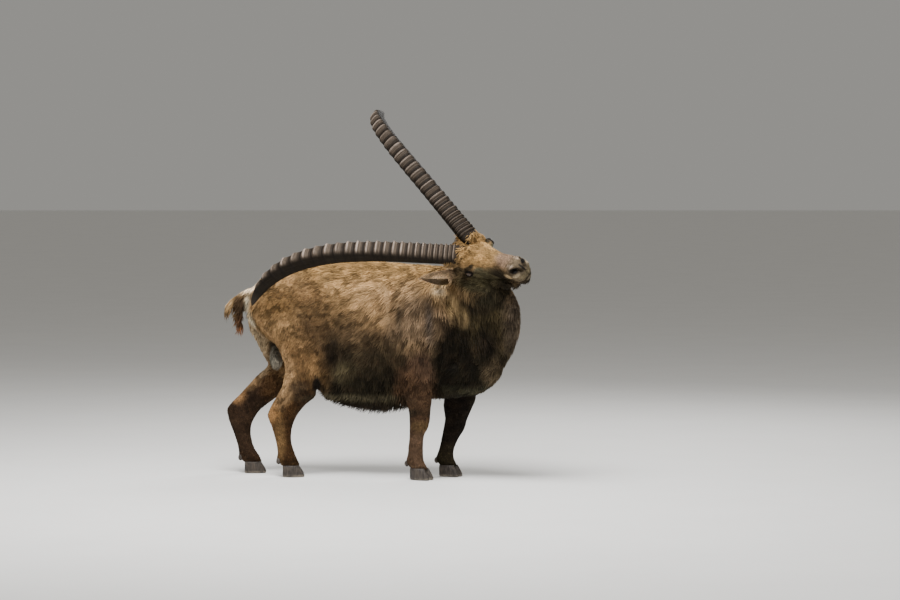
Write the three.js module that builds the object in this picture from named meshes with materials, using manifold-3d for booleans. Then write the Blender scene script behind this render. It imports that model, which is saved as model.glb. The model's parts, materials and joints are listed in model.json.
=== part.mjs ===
// A male alpine ibex, life size, standing still with its head laid back and tilted, in millimetres.
// X runs forward along the trunk, Y to the animal's left and Z up. The floor is Z = 0.
// Every part is a named mesh. Soft parts are drawn at the outer face of the coat.
import * as THREE from "three";
import { mergeVertices } from "three/addons/utils/BufferGeometryUtils.js";
import Module from "manifold-3d";

const wasm = await Module();
wasm.setup();

// Driving sizes
const GAP = 0.3; // between parts that touch
const DEG = Math.PI / 180;
const EYE_RADIUS = 17;
const EYE_SPREAD = 149; // between the centres of the eyeballs
const EYE_DROP = 6; // below the level of the head's frame
const HORN_LENGTH = 959; // along the middle of the horn
const HORN_DEPTH = 76; // front to back at the root
const HORN_WIDTH = 68; // across the front face at the root
const HORN_RIDGES = 23;
const EAR_LENGTH = 144;
const EAR_WIDTH = 62;
const HOOF_HEIGHT = 45;
const FORE_YAW = -31 * DEG; // the chest is turned to the animal's right
const HIND_YAW = 2 * DEG;
const NECK_YAW = -37 * DEG;

// Where the middle of the two eyes is, and how the head is turned, tipped and rolled.
const HEAD_PLACE = new THREE.Vector3(400, -276, 897);
const HEAD_TURN = new THREE.Euler(49.3 * DEG, 2.8 * DEG, -48.1 * DEG, "ZYX");
const headMatrix = new THREE.Matrix4().compose(
  HEAD_PLACE,
  new THREE.Quaternion().setFromEuler(HEAD_TURN),
  new THREE.Vector3(1, 1, 1),
);

// Colours
const coat = (color) => new THREE.MeshStandardMaterial({ color, roughness: 0.85, metalness: 0 });
const BROWN_COAT = coat(0x8a6a48);
const DARK_COAT = coat(0x4a382a);
const HORN_BROWN = new THREE.MeshStandardMaterial({ color: 0x6b5d4e, roughness: 0.6, metalness: 0 });
const HOOF_BLACK = new THREE.MeshStandardMaterial({ color: 0x2a2521, roughness: 0.5, metalness: 0 });
const EYE_AMBER = new THREE.MeshStandardMaterial({ color: 0x6a4718, roughness: 0.1, metalness: 0 });

// A repeatable draw between 0 and 1.
let seed = 20260;
function draw() {
  seed = (seed * 1664525 + 1013904223) % 4294967296;
  return seed / 4294967296;
}

const vec = (x, y, z) => new THREE.Vector3(x, y, z);

// One closed body from points and triangles, turned to face out.
function closedBody(points, triangles) {
  let volume = 0;
  const normal = new THREE.Vector3();
  for (const [a, b, c] of triangles) {
    volume += normal.crossVectors(points[a], points[b]).dot(points[c]);
  }
  const facing = volume < 0 ? triangles.map(([a, b, c]) => [a, c, b]) : triangles;
  const geometry = new THREE.BufferGeometry().setFromPoints(points).setIndex(facing.flat());
  const merged = mergeVertices(geometry, 1e-3);
  return new wasm.Manifold(
    new wasm.Mesh({
      numProp: 3,
      vertProperties: merged.attributes.position.array,
      triVerts: new Uint32Array(merged.index.array),
    }),
  );
}

// A skin stretched over rings of equal count, closed by a fan at each end.
function loft(rings) {
  const count = rings[0].length;
  const points = rings.flat();
  const triangles = [];
  for (let r = 0; r + 1 < rings.length; r++) {
    for (let i = 0; i < count; i++) {
      const a = r * count + i;
      const b = r * count + ((i + 1) % count);
      triangles.push([a, b, b + count], [a, b + count, a + count]);
    }
  }
  for (const r of [0, rings.length - 1]) {
    const middle = new THREE.Vector3();
    rings[r].forEach((p) => middle.addScaledVector(p, 1 / count));
    points.push(middle);
    for (let i = 0; i < count; i++) {
      const a = r * count + i;
      const b = r * count + ((i + 1) % count);
      triangles.push(r === 0 ? [b, a, points.length - 1] : [a, b, points.length - 1]);
    }
  }
  return closedBody(points, triangles);
}

// Rounded-box wave: squareness 2 is a circle, more is boxier, less is sharper.
const wave = (value, squareness) => Math.sign(value) * Math.abs(value) ** (2 / squareness);

// A level ring for a limb: half its length fore and aft, half its width across, turned by yaw.
function levelRing([z, x, y, fore, side], yaw, sides, grow = 0) {
  return Array.from({ length: sides }, (_, i) => {
    const t = (i / sides) * 2 * Math.PI;
    const ahead = (fore + grow) * wave(Math.cos(t), 2.2);
    const left = (side + grow) * wave(Math.sin(t), 2.2);
    return new THREE.Vector3(
      x + ahead * Math.cos(yaw) - left * Math.sin(yaw),
      y + ahead * Math.sin(yaw) + left * Math.cos(yaw),
      z,
    );
  });
}

// A limb through its stations. Growing it also moves its two ends out.
function limb(stations, yaw, sides, grow = 0) {
  const outward = stations[0][0] > stations[1][0] ? grow : -grow;
  return loft(
    stations.map(([z, ...rest], i) => {
      const beyond = i === 0 ? outward : i === stations.length - 1 ? -outward : 0;
      return levelRing([z + beyond, ...rest], yaw, sides, grow);
    }),
  );
}

const join = (solids) => wasm.Manifold.union(solids);
const above = (solid, z) => solid.trimByPlane([0, 0, 1], z + GAP / 2);
const below = (solid, z) => solid.trimByPlane([0, 0, -1], -z + GAP / 2);

// Keeps the largest closed body, so that no scrap of a cut is left.
function largest(solid) {
  return solid.decompose().sort((a, b) => b.volume() - a.volume())[0];
}

// Trunk: each upright section has a place on the bent spine, heights of back, widest line and
// belly, and half its width. The spine bends so that the chest is turned to the right.
const TRUNK = [
  { x: -512, y: 92, back: 755, wide: 700, belly: 645, half: 38 },
  { x: -482, y: 95, back: 788, wide: 690, belly: 585, half: 80 },
  { x: -430, y: 99, back: 832, wide: 680, belly: 535, half: 108 },
  { x: -350, y: 102, back: 856, wide: 660, belly: 478, half: 118 },
  { x: -270, y: 103, back: 864, wide: 620, belly: 370, half: 128 },
  { x: -190, y: 100, back: 864, wide: 580, belly: 318, half: 148 },
  { x: -80, y: 88, back: 868, wide: 560, belly: 290, half: 165 },
  { x: 30, y: 66, back: 868, wide: 555, belly: 286, half: 168 },
  { x: 130, y: 32, back: 862, wide: 560, belly: 303, half: 160 },
  { x: 225, y: -12, back: 858, wide: 570, belly: 318, half: 148 },
  { x: 320, y: -70, back: 845, wide: 575, belly: 326, half: 132 },
  { x: 400, y: -127, back: 800, wide: 570, belly: 342, half: 112 },
  { x: 452, y: -166, back: 740, wide: 555, belly: 372, half: 88 },
  { x: 490, y: -195, back: 650, wide: 535, belly: 420, half: 55 },
];

function trunkRings(grow = 0) {
  const last = TRUNK.length - 1;
  const sides = 22;
  return TRUNK.map((s, i) => {
    const before = TRUNK[Math.max(i - 1, 0)];
    const after = TRUNK[Math.min(i + 1, last)];
    const yaw = Math.atan2(after.y - before.y, after.x - before.x);
    const beyond = i === 0 ? -grow : i === last ? grow : 0;
    return Array.from({ length: sides }, (_, k) => {
      const t = (k / sides) * 2 * Math.PI;
      const upper = Math.sin(t) > 0;
      const left = (s.half + grow) * wave(Math.cos(t), upper ? 1.9 : 2.3);
      const height = upper ? s.back - s.wide : s.wide - s.belly;
      return new THREE.Vector3(
        s.x + beyond * Math.cos(yaw) - left * Math.sin(yaw),
        s.y + beyond * Math.sin(yaw) + left * Math.cos(yaw),
        s.wide + (height + grow) * wave(Math.sin(t), upper ? 1.9 : 2.3),
      );
    });
  });
}

// Neck: level sections from the chest to the nape. [height, x, y, half length, half width]
const NECK = [
  [470, 426, -148, 90, 76],
  [540, 422, -145, 132, 102],
  [620, 424, -150, 153, 106],
  [700, 424, -166, 149, 98],
  [768, 408, -176, 134, 87],
  [830, 392, -170, 104, 66],
  [875, 374, -176, 74, 52],
  [900, 360, -180, 42, 34],
];
// The neck starts at a plane from the withers to the front of the chest.
const NECK_CUT = new THREE.Plane().setFromNormalAndCoplanarPoint(
  new THREE.Vector3(0.62, -0.43, 0.66).normalize(),
  new THREE.Vector3(300, -60, 845),
);

// Legs, as level sections like the neck's. Right is the near side of the body.
const LEGS = {
  fore_r: {
    yaw: FORE_YAW,
    split: 400,
    joints: [215],
    stations: [
      [610, 190, -65, 80, 42],
      [500, 172, -88, 92, 52],
      [404, 164, -97, 72, 50],
      [344, 162, -97, 66, 46],
      [280, 167, -95, 50, 42],
      [235, 167, -93, 45, 39],
      [205, 163, -92, 40, 36],
      [172, 155, -92, 33, 28],
      [110, 151, -90, 34, 28],
      [72, 150, -89, 38, 33],
      [HOOF_HEIGHT, 167, -99, 38, 32],
    ],
  },
  fore_l: {
    yaw: FORE_YAW,
    split: 400,
    joints: [205],
    stations: [
      [610, 300, 55, 80, 42],
      [500, 318, 66, 92, 52],
      [404, 325, 66, 74, 50],
      [324, 329, 62, 74, 46],
      [280, 320, 60, 68, 42],
      [232, 313, 58, 51, 40],
      [192, 304, 56, 47, 38],
      [149, 287, 54, 38, 30],
      [108, 274, 52, 34, 28],
      [72, 268, 50, 38, 33],
      [HOOF_HEIGHT, 283, 40, 38, 32],
    ],
  },
  hind_r: {
    yaw: HIND_YAW,
    split: 530,
    joints: [400, 232],
    stations: [
      [790, -388, 62, 60, 40],
      [700, -378, 42, 108, 58],
      [620, -352, 28, 122, 70],
      [560, -310, 20, 122, 70],
      [512, -285, 17, 120, 68],
      [448, -290, 16, 90, 56],
      [374, -312, 16, 76, 44],
      [328, -331, 16, 80, 40],
      [288, -361, 17, 72, 37],
      [248, -384, 18, 63, 34],
      [202, -386, 20, 45, 32],
      [148, -381, 22, 34, 28],
      [102, -371, 22, 36, 28],
      [72, -366, 22, 42, 34],
      [HOOF_HEIGHT, -350, 20, 40, 32],
    ],
  },
  hind_l: {
    yaw: HIND_YAW,
    split: 530,
    joints: [395, 228],
    stations: [
      [790, -405, 140, 60, 40],
      [700, -412, 158, 108, 58],
      [620, -408, 172, 122, 70],
      [545, -384, 177, 116, 68],
      [484, -365, 179, 108, 62],
      [440, -362, 180, 95, 52],
      [392, -412, 182, 93, 44],
      [330, -470, 183, 90, 40],
      [270, -540, 184, 76, 37],
      [236, -556, 184, 62, 34],
      [196, -560, 184, 46, 32],
      [152, -553, 184, 36, 28],
      [105, -540, 184, 35, 28],
      [72, -528, 184, 42, 34],
      [HOOF_HEIGHT, -512, 183, 40, 32],
    ],
  },
};
const LEG_SIDES = 12;

// Hoof: two claws a foot, each a stack of level sections that leans forward to the toe.
function claw(foot, yaw, left) {
  const [, x, y] = foot;
  const outward = left ? 1 : -1;
  const rows = [
    [0, 10, 43, 14.5],
    [12, 9, 43, 15.5],
    [HOOF_HEIGHT - GAP, -1, 33, 15],
  ];
  return loft(
    rows.map(([z, ahead, fore, side]) => {
      const across = outward * (side + 1.5);
      const cx = x + ahead * Math.cos(yaw) - across * Math.sin(yaw);
      const cy = y + ahead * Math.sin(yaw) + across * Math.cos(yaw);
      return levelRing([z, cx, cy, fore, side], yaw, 10);
    }),
  );
}

// A ball squashed to three half sizes.
function ball(place, [fore, side, up], { yaw = 0, rows = 6, sides = 10 } = {}) {
  const geometry = new THREE.SphereGeometry(1, sides, rows);
  geometry.rotateX(Math.PI / 2);
  geometry.scale(fore, side, up);
  geometry.rotateZ(yaw);
  geometry.translate(place.x, place.y, place.z);
  geometry.deleteAttribute("normal");
  geometry.deleteAttribute("uv");
  const merged = mergeVertices(geometry, 1e-3);
  return new wasm.Manifold(
    new wasm.Mesh({
      numProp: 3,
      vertProperties: merged.attributes.position.array,
      triVerts: new Uint32Array(merged.index.array),
    }),
  );
}

// A flat lock of hair that tapers to a point. Its root is sunk in the skin, it comes out along
// the lie of the coat, and the droop bends it on its way to the tip.
const LOCK_ROWS = [
  { along: -0.12, rise: -0.9, taper: 0.75 },
  { along: 0.42, rise: 0.3, taper: 1 },
  { along: 1, rise: 1, taper: 0.08 },
];

function lock(root, out, lie, { length, width, thick, lift = 0.12, droop = [0, 0, 0] }) {
  const side = new THREE.Vector3().crossVectors(lie, out).normalize();
  const bend = new THREE.Vector3(...droop);
  return loft(
    LOCK_ROWS.map(({ along, rise, taper }) => {
      const height = rise < 0 ? rise * thick : rise * lift * length;
      const middle = root
        .clone()
        .addScaledVector(lie, along * length)
        .addScaledVector(out, height)
        .addScaledVector(bend, along * Math.abs(along) * length);
      return [0, 1, 2, 3].map((k) =>
        middle
          .clone()
          .addScaledVector(side, Math.cos(k * 90 * DEG) * width * 0.5 * taper)
          .addScaledVector(out, Math.sin(k * 90 * DEG) * thick * 0.5 * taper),
      );
    }),
  );
}

// A point and its outward normal on a skin of rings, at a share along and a share round.
function onRings(rings, along, round) {
  const count = rings[0].length;
  const at = (u, v) => {
    const r = Math.min(Math.max(u, 0), 0.9999) * (rings.length - 1);
    const k = (((v % 1) + 1) % 1) * count;
    const i = Math.floor(r);
    const j = Math.floor(k);
    const near = rings[i][j % count].clone().lerp(rings[i][(j + 1) % count], k - j);
    const next = rings[i + 1][j % count].clone().lerp(rings[i + 1][(j + 1) % count], k - j);
    return near.lerp(next, r - i);
  };
  const point = at(along, round);
  const forward = at(along + 0.02, round).sub(at(along - 0.02, round));
  const sideways = at(along, round + 0.02).sub(at(along, round - 0.02));
  const normal = forward.cross(sideways).normalize();
  const ring = Math.round(Math.min(Math.max(along, 0), 1) * (rings.length - 1));
  const middle = new THREE.Vector3();
  rings[ring].forEach((p) => middle.addScaledVector(p, 1 / count));
  if (normal.dot(point.clone().sub(middle)) < 0) normal.negate();
  return { point, normal };
}

// Locks over a stretch of skin, in staggered rows that lie along a flow direction.
function locksOver(rings, { from, to, start, end, rows, each, flow, sizes }) {
  const made = [];
  for (let r = 0; r < rows; r++) {
    for (let k = 0; k < each; k++) {
      const across = (k + (r % 2 ? 0.75 : 0.25) + 0.3 * (draw() - 0.5)) / each;
      const along = from + ((to - from) * (r + 0.5 + 0.3 * (draw() - 0.5))) / rows;
      const { point, normal } = onRings(rings, along, start + (end - start) * across);
      const lie = flow.clone().addScaledVector(normal, -flow.dot(normal)).normalize();
      lie.applyAxisAngle(normal, 0.5 * (draw() - 0.5));
      const size = 0.85 + 0.3 * draw();
      made.push(lock(point, normal, lie, { ...sizes, length: sizes.length * size }));
    }
  }
  return made;
}

// Head, in its own frame: X to the nose, Y to its left, Z out of the crown, 0 between the eyes.
// Each section has its place, the heights of brow, widest line and jaw, and half its width.
const HEAD = [
  { x: -140, top: 8, wide: -25, jaw: -62, half: 30 },
  { x: -122, top: 46, wide: -22, jaw: -92, half: 54 },
  { x: -90, top: 64, wide: -14, jaw: -112, half: 66 },
  { x: -50, top: 70, wide: -10, jaw: -122, half: 70 },
  { x: -15, top: 64, wide: -6, jaw: -122, half: 72 },
  { x: 15, top: 56, wide: -8, jaw: -118, half: 68 },
  { x: 45, top: 45, wide: -20, jaw: -114, half: 58 },
  { x: 85, top: 30, wide: -38, jaw: -111, half: 50 },
  { x: 125, top: 17, wide: -50, jaw: -112, half: 46 },
  { x: 160, top: 7, wide: -56, jaw: -115, half: 46 },
  { x: 188, top: -4, wide: -58, jaw: -112, half: 45 },
  { x: 208, top: -17, wide: -60, jaw: -103, half: 38 },
  { x: 220, top: -33, wide: -60, jaw: -89, half: 24 },
  { x: 224, top: -46, wide: -60, jaw: -75, half: 10 },
];

function headRings(grow = 0) {
  const last = HEAD.length - 1;
  return HEAD.map((s, i) =>
    Array.from({ length: 20 }, (_, k) => {
      const t = (k / 20) * 2 * Math.PI;
      const upper = Math.sin(t) > 0;
      const height = upper ? s.top - s.wide : s.wide - s.jaw;
      // the crown is narrower than the cheeks, and the lower half narrows to the jaw
      const narrow = 1 - (upper ? 0.12 : 0.3) * Math.abs(Math.sin(t));
      return new THREE.Vector3(
        s.x + (i === 0 ? -grow : i === last ? grow : 0),
        (s.half + grow) * wave(Math.cos(t), 2.3) * narrow,
        s.wide + (height + grow) * wave(Math.sin(t), 2.3),
      );
    }),
  );
}

// The skull with the swellings round the horn roots, over the eyes and at the roots of the ears.
const SWELLINGS = [
  { place: vec(-72, 53, 47), radii: [42, 36, 42] },
  { place: vec(-20, 52, 35), radii: [42, 30, 30] },
  { place: vec(-1, 60, -1), radii: [36, 27, 25] },
  { place: vec(-98, 62, -33), radii: [28, 25, 25] },
];

function headShape(grow = 0) {
  const swellings = [-1, 1].flatMap((side) =>
    SWELLINGS.map((s) => ball(s.place.clone().multiply(vec(1, side, 1)), s.radii.map((r) => r + grow))),
  );
  return join([loft(headRings(grow)), ...swellings]);
}

// A round bar through a few points, for lids, lips, the tail and grooves.
function bar(points, radius, { sides = 6, squash = 1, steps = points.length * 2 } = {}) {
  const curve = new THREE.CatmullRomCurve3(points);
  const frames = curve.computeFrenetFrames(steps, false);
  const rings = [];
  for (let i = 0; i <= steps; i++) {
    const t = i / steps;
    const thin = typeof radius === "function" ? radius(t) : radius;
    const place = curve.getPointAt(t);
    rings.push(
      Array.from({ length: sides }, (_, k) => {
        const a = (k / sides) * 2 * Math.PI;
        return place
          .clone()
          .addScaledVector(frames.normals[i], Math.cos(a) * thin)
          .addScaledVector(frames.binormals[i], Math.sin(a) * thin * squash);
      }),
    );
  }
  return loft(rings);
}

// Eyeball, or its socket when it is grown by the gap.
function eyeball(side, grow = 0) {
  const r = EYE_RADIUS + grow;
  return ball(vec(0, (side * EYE_SPREAD) / 2, -EYE_DROP), [r, r, r], { rows: 8, sides: 12 });
}

// Lids: a thick arc over the eyeball and a thinner one under it, from corner to corner.
function lids(side) {
  const cover = EYE_RADIUS + 1.5;
  const arc = (rise, thick) => {
    const points = [];
    for (let i = 0; i <= 4; i++) {
      const a = (i / 4) * Math.PI;
      const x = Math.cos(a) * 0.92 * cover;
      const z = Math.sin(a) * rise - 0.08 * x;
      const out = Math.sqrt(Math.max(cover ** 2 - x ** 2 - z ** 2, 20));
      points.push(vec(x, side * (EYE_SPREAD / 2 + out), z - EYE_DROP));
    }
    return bar(points, thick, { sides: 5, steps: 8 });
  };
  return [arc(13, 3.6), arc(-12, 2.8)];
}

// Nostril: a bent slit that runs up and back from the front of the nose.
function nostril(side) {
  return bar(
    [
      vec(226, side * 9, -47),
      vec(221, side * 18, -37),
      vec(211, side * 27, -29),
      vec(200, side * 33, -26),
      vec(190, side * 38, -28),
    ],
    (t) => 2.5 + 5 * Math.sin(Math.PI * Math.min(1, 0.2 + 0.75 * t)),
    { steps: 7 },
  );
}

// Philtrum: the groove from between the nostrils down to the mouth.
const philtrum = () => bar([vec(228, 0, -50), vec(227, 0, -66), vec(222, 0, -86)], 3, { steps: 3 });

// Mouth line: a groove round the muzzle from corner to corner, with a lip along each edge.
function mouthPath(drop, out) {
  const half = (side) => [
    vec(108, side * (41 + out), -96 + drop),
    vec(140, side * (43 + out), -91 + drop),
    vec(172, side * (43 + out), -90 + drop),
    vec(200, side * (34 + out), -89 + drop),
  ];
  return [...half(-1), vec(217 + out, 0, -87 + drop), ...half(1).reverse()];
}

// Beard: a few locks under the chin, which hang down although the head is rolled.
const HEAD_DOWN = vec(0.05, -0.76, -0.65);

function beard() {
  const made = [];
  for (let k = 0; k < 5; k++) {
    const root = vec(178 - 10 * k, 12 * ((k % 3) - 1) - 6, -109);
    const lie = HEAD_DOWN.clone().add(vec(0.5 * draw() - 0.35, 0, -0.3)).normalize();
    made.push(lock(root, vec(1, 0, 0), lie, { length: 34 + 14 * draw(), width: 15, thick: 9 }));
  }
  return made;
}

// Curls of the forehead: short wide locks that turn every way, from the horns forward.
function forelock() {
  const rings = headRings();
  const made = [];
  const rows = 3;
  const each = 4;
  for (let r = 0; r < rows; r++) {
    for (let k = 0; k < each; k++) {
      const along = 0.245 + 0.085 * (r + 0.4 * draw());
      const round = 0.25 + 0.075 * (k - 1.7 + 0.4 * draw()) * (1 - 0.1 * r);
      const { point, normal } = onRings(rings, along, round);
      const lie = vec(0.8, 0.5 * (k - 1.5) + 1.4 * (draw() - 0.5), 0);
      lie.addScaledVector(normal, -lie.dot(normal)).normalize();
      made.push(lock(point, normal, lie, { length: 46, width: 32, thick: 22, lift: 0.28 - 0.06 * r }));
    }
  }
  return made;
}

function makeHead() {
  const lips = bar(mouthPath(0, -4), (t) => 7 + 4 * Math.sin(Math.PI * t), { steps: 14 });
  const curls = join(forelock()).subtract(join([hornBar(-1, GAP), hornBar(1, GAP)]));
  return largest(
    join([headShape(), ...lids(-1), ...lids(1), lips, ...beard(), curls])
      .subtract(eyeball(-1, GAP))
      .subtract(eyeball(1, GAP))
      .subtract(bar(mouthPath(0, 4), 2.2, { sides: 5, steps: 14 }))
      .subtract(philtrum())
      .subtract(nostril(-1))
      .subtract(nostril(1)),
  );
}

// Horn: a bar that leaves the crown backwards and bends down ever faster, with a slight twist.
const HORN = {
  root: vec(-45, 45, 55),
  sunk: 28,
  splay: 24.9 * DEG,
  rise: 31.2 * DEG,
  lean: 3.2 * DEG,
  turn: 70.3 * DEG,
  quicken: 3.48,
  twist: -0.77,
};

// Middle line of one horn with its local front-back and left-right directions.
function hornLine(side, steps) {
  const { root, splay, rise, lean, turn, quicken, twist } = HORN;
  const heading = vec(
    -Math.cos(rise) * Math.cos(splay),
    side * Math.sin(splay),
    Math.sin(rise) * Math.cos(splay),
  );
  const inward = vec(-Math.sin(rise), 0, -Math.cos(rise));
  inward.addScaledVector(heading, -inward.dot(heading)).normalize();
  inward.applyAxisAngle(heading, side * lean);
  const place = vec(root.x, side * root.y, root.z);
  const step = HORN_LENGTH / steps;
  const line = [];
  for (let i = 0; i <= steps; i++) {
    line.push({ place: place.clone(), heading: heading.clone(), inward: inward.clone() });
    const bend = ((turn + quicken * ((i + 0.5) / steps - 0.5)) / HORN_LENGTH) * step;
    const across = vec(0, 0, 0).crossVectors(heading, inward);
    const before = heading.clone();
    heading.addScaledVector(inward, bend).normalize();
    inward.addScaledVector(before, -bend);
    inward.addScaledVector(across, ((side * twist) / HORN_LENGTH) * step);
    inward.addScaledVector(heading, -inward.dot(heading)).normalize();
    place.addScaledVector(before.add(heading), step / 2);
  }
  return line;
}

// Places of the ridges: close together at the root, wider apart towards the tip.
const ridgeAt = (n) => 0.023 + 0.0202 * n + 0.0009 * n ** 2;

function hornBar(side, grow = 0) {
  const sides = 10;
  const steps = 400;
  const line = hornLine(side, steps);
  const rings = [];
  const ringAt = (share, ridge) => {
    const { place, heading, inward } = line[Math.round(Math.max(share, 0) * steps)];
    const across = vec(0, 0, 0).crossVectors(heading, inward);
    const buried = share < 0;
    const middle = buried ? place.clone().addScaledVector(heading, -HORN.sunk - grow) : place;
    const taper = buried ? 0.55 : Math.max(0.02, (1 - share ** 5) ** 0.6);
    const depth = (HORN_DEPTH / 2) * taper + grow;
    const width = (HORN_WIDTH / 2) * taper * (1 - 0.12 * share) + grow;
    rings.push(
      Array.from({ length: sides }, (_, k) => {
        const t = ((k + 0.5) / sides) * 2 * Math.PI;
        // the front face is broad and flat, and the back edge is narrower
        const front = wave(Math.cos(t), 2.8);
        const wide = wave(Math.sin(t), 2.8) * (1 + 0.16 * front);
        // a ridge stands on the front face and fades round the sides
        const swell = ridge * Math.max(0, 0.3 + 0.7 * Math.cos(t));
        return middle
          .clone()
          .addScaledVector(inward, -(depth * front + swell))
          .addScaledVector(across, width * wide + 0.55 * swell * Math.sign(wide));
      }),
    );
  };
  ringAt(-1, 0);
  for (let n = 0; n < HORN_RIDGES; n++) {
    const here = ridgeAt(n);
    const gap = ridgeAt(n + 1) - here;
    const high = 8 * (n < 2 ? 0.55 : 1) * (1 - 0.4 * here);
    ringAt(here - 0.45 * gap, 0);
    ringAt(here - 0.14 * gap, high);
    ringAt(here + 0.14 * gap, high * 0.8);
  }
  ringAt(0.955, 0);
  ringAt(0.985, 0);
  ringAt(1, 0);
  return loft(rings);
}

const makeHorn = (side) => largest(hornBar(side).subtract(headShape(GAP)));

// Ear: a leaf-shaped cup of real thickness. It leaves the head at a root, runs along one
// direction and is open towards another.
const EAR = { root: vec(-103, 78, -38), along: vec(-0.794, 0.501, 0.341), open: vec(0.625, 0.78, 0.034) };

function makeEar(side) {
  const flip = vec(1, side, 1);
  const root = EAR.root.clone().multiply(flip);
  const along = EAR.along.clone().multiply(flip).normalize();
  const open = EAR.open.clone().multiply(flip);
  open.addScaledVector(along, -open.dot(along)).normalize();
  const across = vec(0, 0, 0).crossVectors(along, open);
  const rows = 9;
  const arc = 6;
  const rings = [];
  for (let r = 0; r <= rows; r++) {
    const t = r / rows;
    const leaf = (EAR_WIDTH / 2) * (0.42 + 0.62 * t) * Math.max(0.05, 1 - t ** 3.2) ** 0.8 * 1.25;
    const deep = leaf * (1.1 - 0.55 * t);
    const thick = 6 - 3 * t;
    const place = root.clone().addScaledVector(along, EAR_LENGTH * t);
    const ring = [];
    for (const face of [1, -1]) {
      for (let k = 0; k <= arc; k++) {
        const u = face * ((k / arc) * 2 - 1);
        const edge = Math.sqrt(Math.max(0, 1 - u * u));
        const wall = face > 0 ? 0 : thick * (0.25 + 0.75 * edge);
        ring.push(
          place
            .clone()
            .addScaledVector(across, leaf * u * (face > 0 ? 1 : 0.9))
            .addScaledVector(open, wall - deep * edge),
        );
      }
    }
    rings.push(ring);
  }
  return largest(loft(rings).subtract(headShape(GAP)));
}

// Tail: a short flat stub that points back and droops, with a tuft that hangs from it.
const TAIL = [
  vec(-468, 93, 748),
  vec(-513, 92, 742),
  vec(-554, 91, 722),
  vec(-588, 90, 699),
  vec(-610, 90, 672),
];

// Tuft: locks that hang from the tail, the longest of them from its middle.
function tuft() {
  const curve = new THREE.CatmullRomCurve3(TAIL);
  const made = [];
  const count = 13;
  for (let k = 0; k < count; k++) {
    const t = 0.5 + 0.5 * (k / (count - 1));
    const swing = (k % 3) - 1;
    const root = curve.getPointAt(t).add(vec(0, 8 * swing, -4));
    const out = vec(-0.3, 0.8 * swing, 0.1).normalize();
    const lie = vec(0.24 * (draw() - 0.4), 0.12 * swing, -1);
    lie.addScaledVector(out, -lie.dot(out)).normalize();
    const length = 50 + 100 * Math.exp(-(((t - 0.6) / 0.1) ** 2)) + 12 * draw();
    made.push(lock(root, out, lie, { length, width: 26, thick: 11, lift: 0.06 }));
  }
  return made;
}

function makeTail() {
  const core = bar(TAIL, (t) => 23 - 8 * t, { sides: 8, squash: 0.8 });
  return largest(join([core, ...tuft()]).subtract(bodyShape(GAP).all));
}

// Fringe of the belly: locks that lie backwards and stand below it.
function fringe() {
  return locksOver(trunkRings(), {
    from: 0.39,
    to: 0.64,
    start: 0.68,
    end: 0.82,
    rows: 6,
    each: 3,
    flow: vec(-1, 0.1, -0.3),
    sizes: { length: 80, width: 66, thick: 16, lift: 0.27 },
  });
}

// Shaggy hair of the neck, in rows that lie downwards from the throat to the chest.
function ruff() {
  return locksOver(NECK.map((s) => levelRing(s, NECK_YAW, 22)), {
    from: 0.2,
    to: 0.62,
    start: -0.36,
    end: 0.36,
    rows: 5,
    each: 7,
    flow: vec(-0.12, 0.08, -1),
    sizes: { length: 96, width: 58, thick: 16, lift: 0.05, droop: [-0.1, 0.05, 0] },
  });
}

// Trunk, neck, the roots of the legs and the pouch that hangs between the thighs.
const legSolid = (leg, grow = 0) => limb(leg.stations, leg.yaw, LEG_SIDES, grow);
const legRoots = (grow) => Object.values(LEGS).map((leg) => above(legSolid(leg, grow), leg.split - grow));

function bodyShape(grow = 0) {
  const pouch = [-1, 1].map((side) =>
    ball(vec(-402, 100 + 14 * side, 500), [30 + grow, 25 + grow, 48 + grow]),
  );
  const trunk = loft(trunkRings(grow));
  return { trunk, pouch, all: join([trunk, limb(NECK, NECK_YAW, 22, grow), ...legRoots(grow), ...pouch]) };
}

// The body is one shape, parted by planes and hollowed where the head lies against it.
const body = join([bodyShape().all, ...fringe(), ...ruff()]);
const headTool = headShape(GAP).transform(headMatrix.elements);

function partBody(ahead) {
  const normal = NECK_CUT.normal.clone().multiplyScalar(ahead ? 1 : -1);
  const offset = -NECK_CUT.constant * (ahead ? 1 : -1) + GAP / 2;
  return largest(body.trimByPlane(normal.toArray(), offset).subtract(headTool));
}

// Dewclaws: two small knobs behind each fetlock.
function dewclaws(leg) {
  const [z, x, y, fore] = leg.stations.find((s) => s[0] === 72);
  return [-1, 1].map((side) =>
    ball(
      vec(
        x - Math.cos(leg.yaw) * fore * 0.85 - side * 14 * Math.sin(leg.yaw),
        y - Math.sin(leg.yaw) * fore * 0.85 + side * 14 * Math.cos(leg.yaw),
        z - 6,
      ),
      [11, 9, 14],
      { yaw: leg.yaw, rows: 5, sides: 6 },
    ),
  );
}

// Put together
const model = new THREE.Group();
const headGroup = new THREE.Group();
headGroup.position.copy(HEAD_PLACE);
headGroup.rotation.copy(HEAD_TURN);
model.add(headGroup);

function place(parent, name, solid, material) {
  const { vertProperties, triVerts, numProp } = solid.getMesh();
  const points = new Float32Array((vertProperties.length / numProp) * 3);
  for (let i = 0; i < points.length / 3; i++) {
    points.set(vertProperties.subarray(i * numProp, i * numProp + 3), i * 3);
  }
  const geometry = new THREE.BufferGeometry();
  geometry.setAttribute("position", new THREE.BufferAttribute(points, 3));
  geometry.setIndex(new THREE.BufferAttribute(triVerts, 1));
  const mesh = new THREE.Mesh(geometry, material);
  mesh.name = name;
  parent.add(mesh);
}

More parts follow.
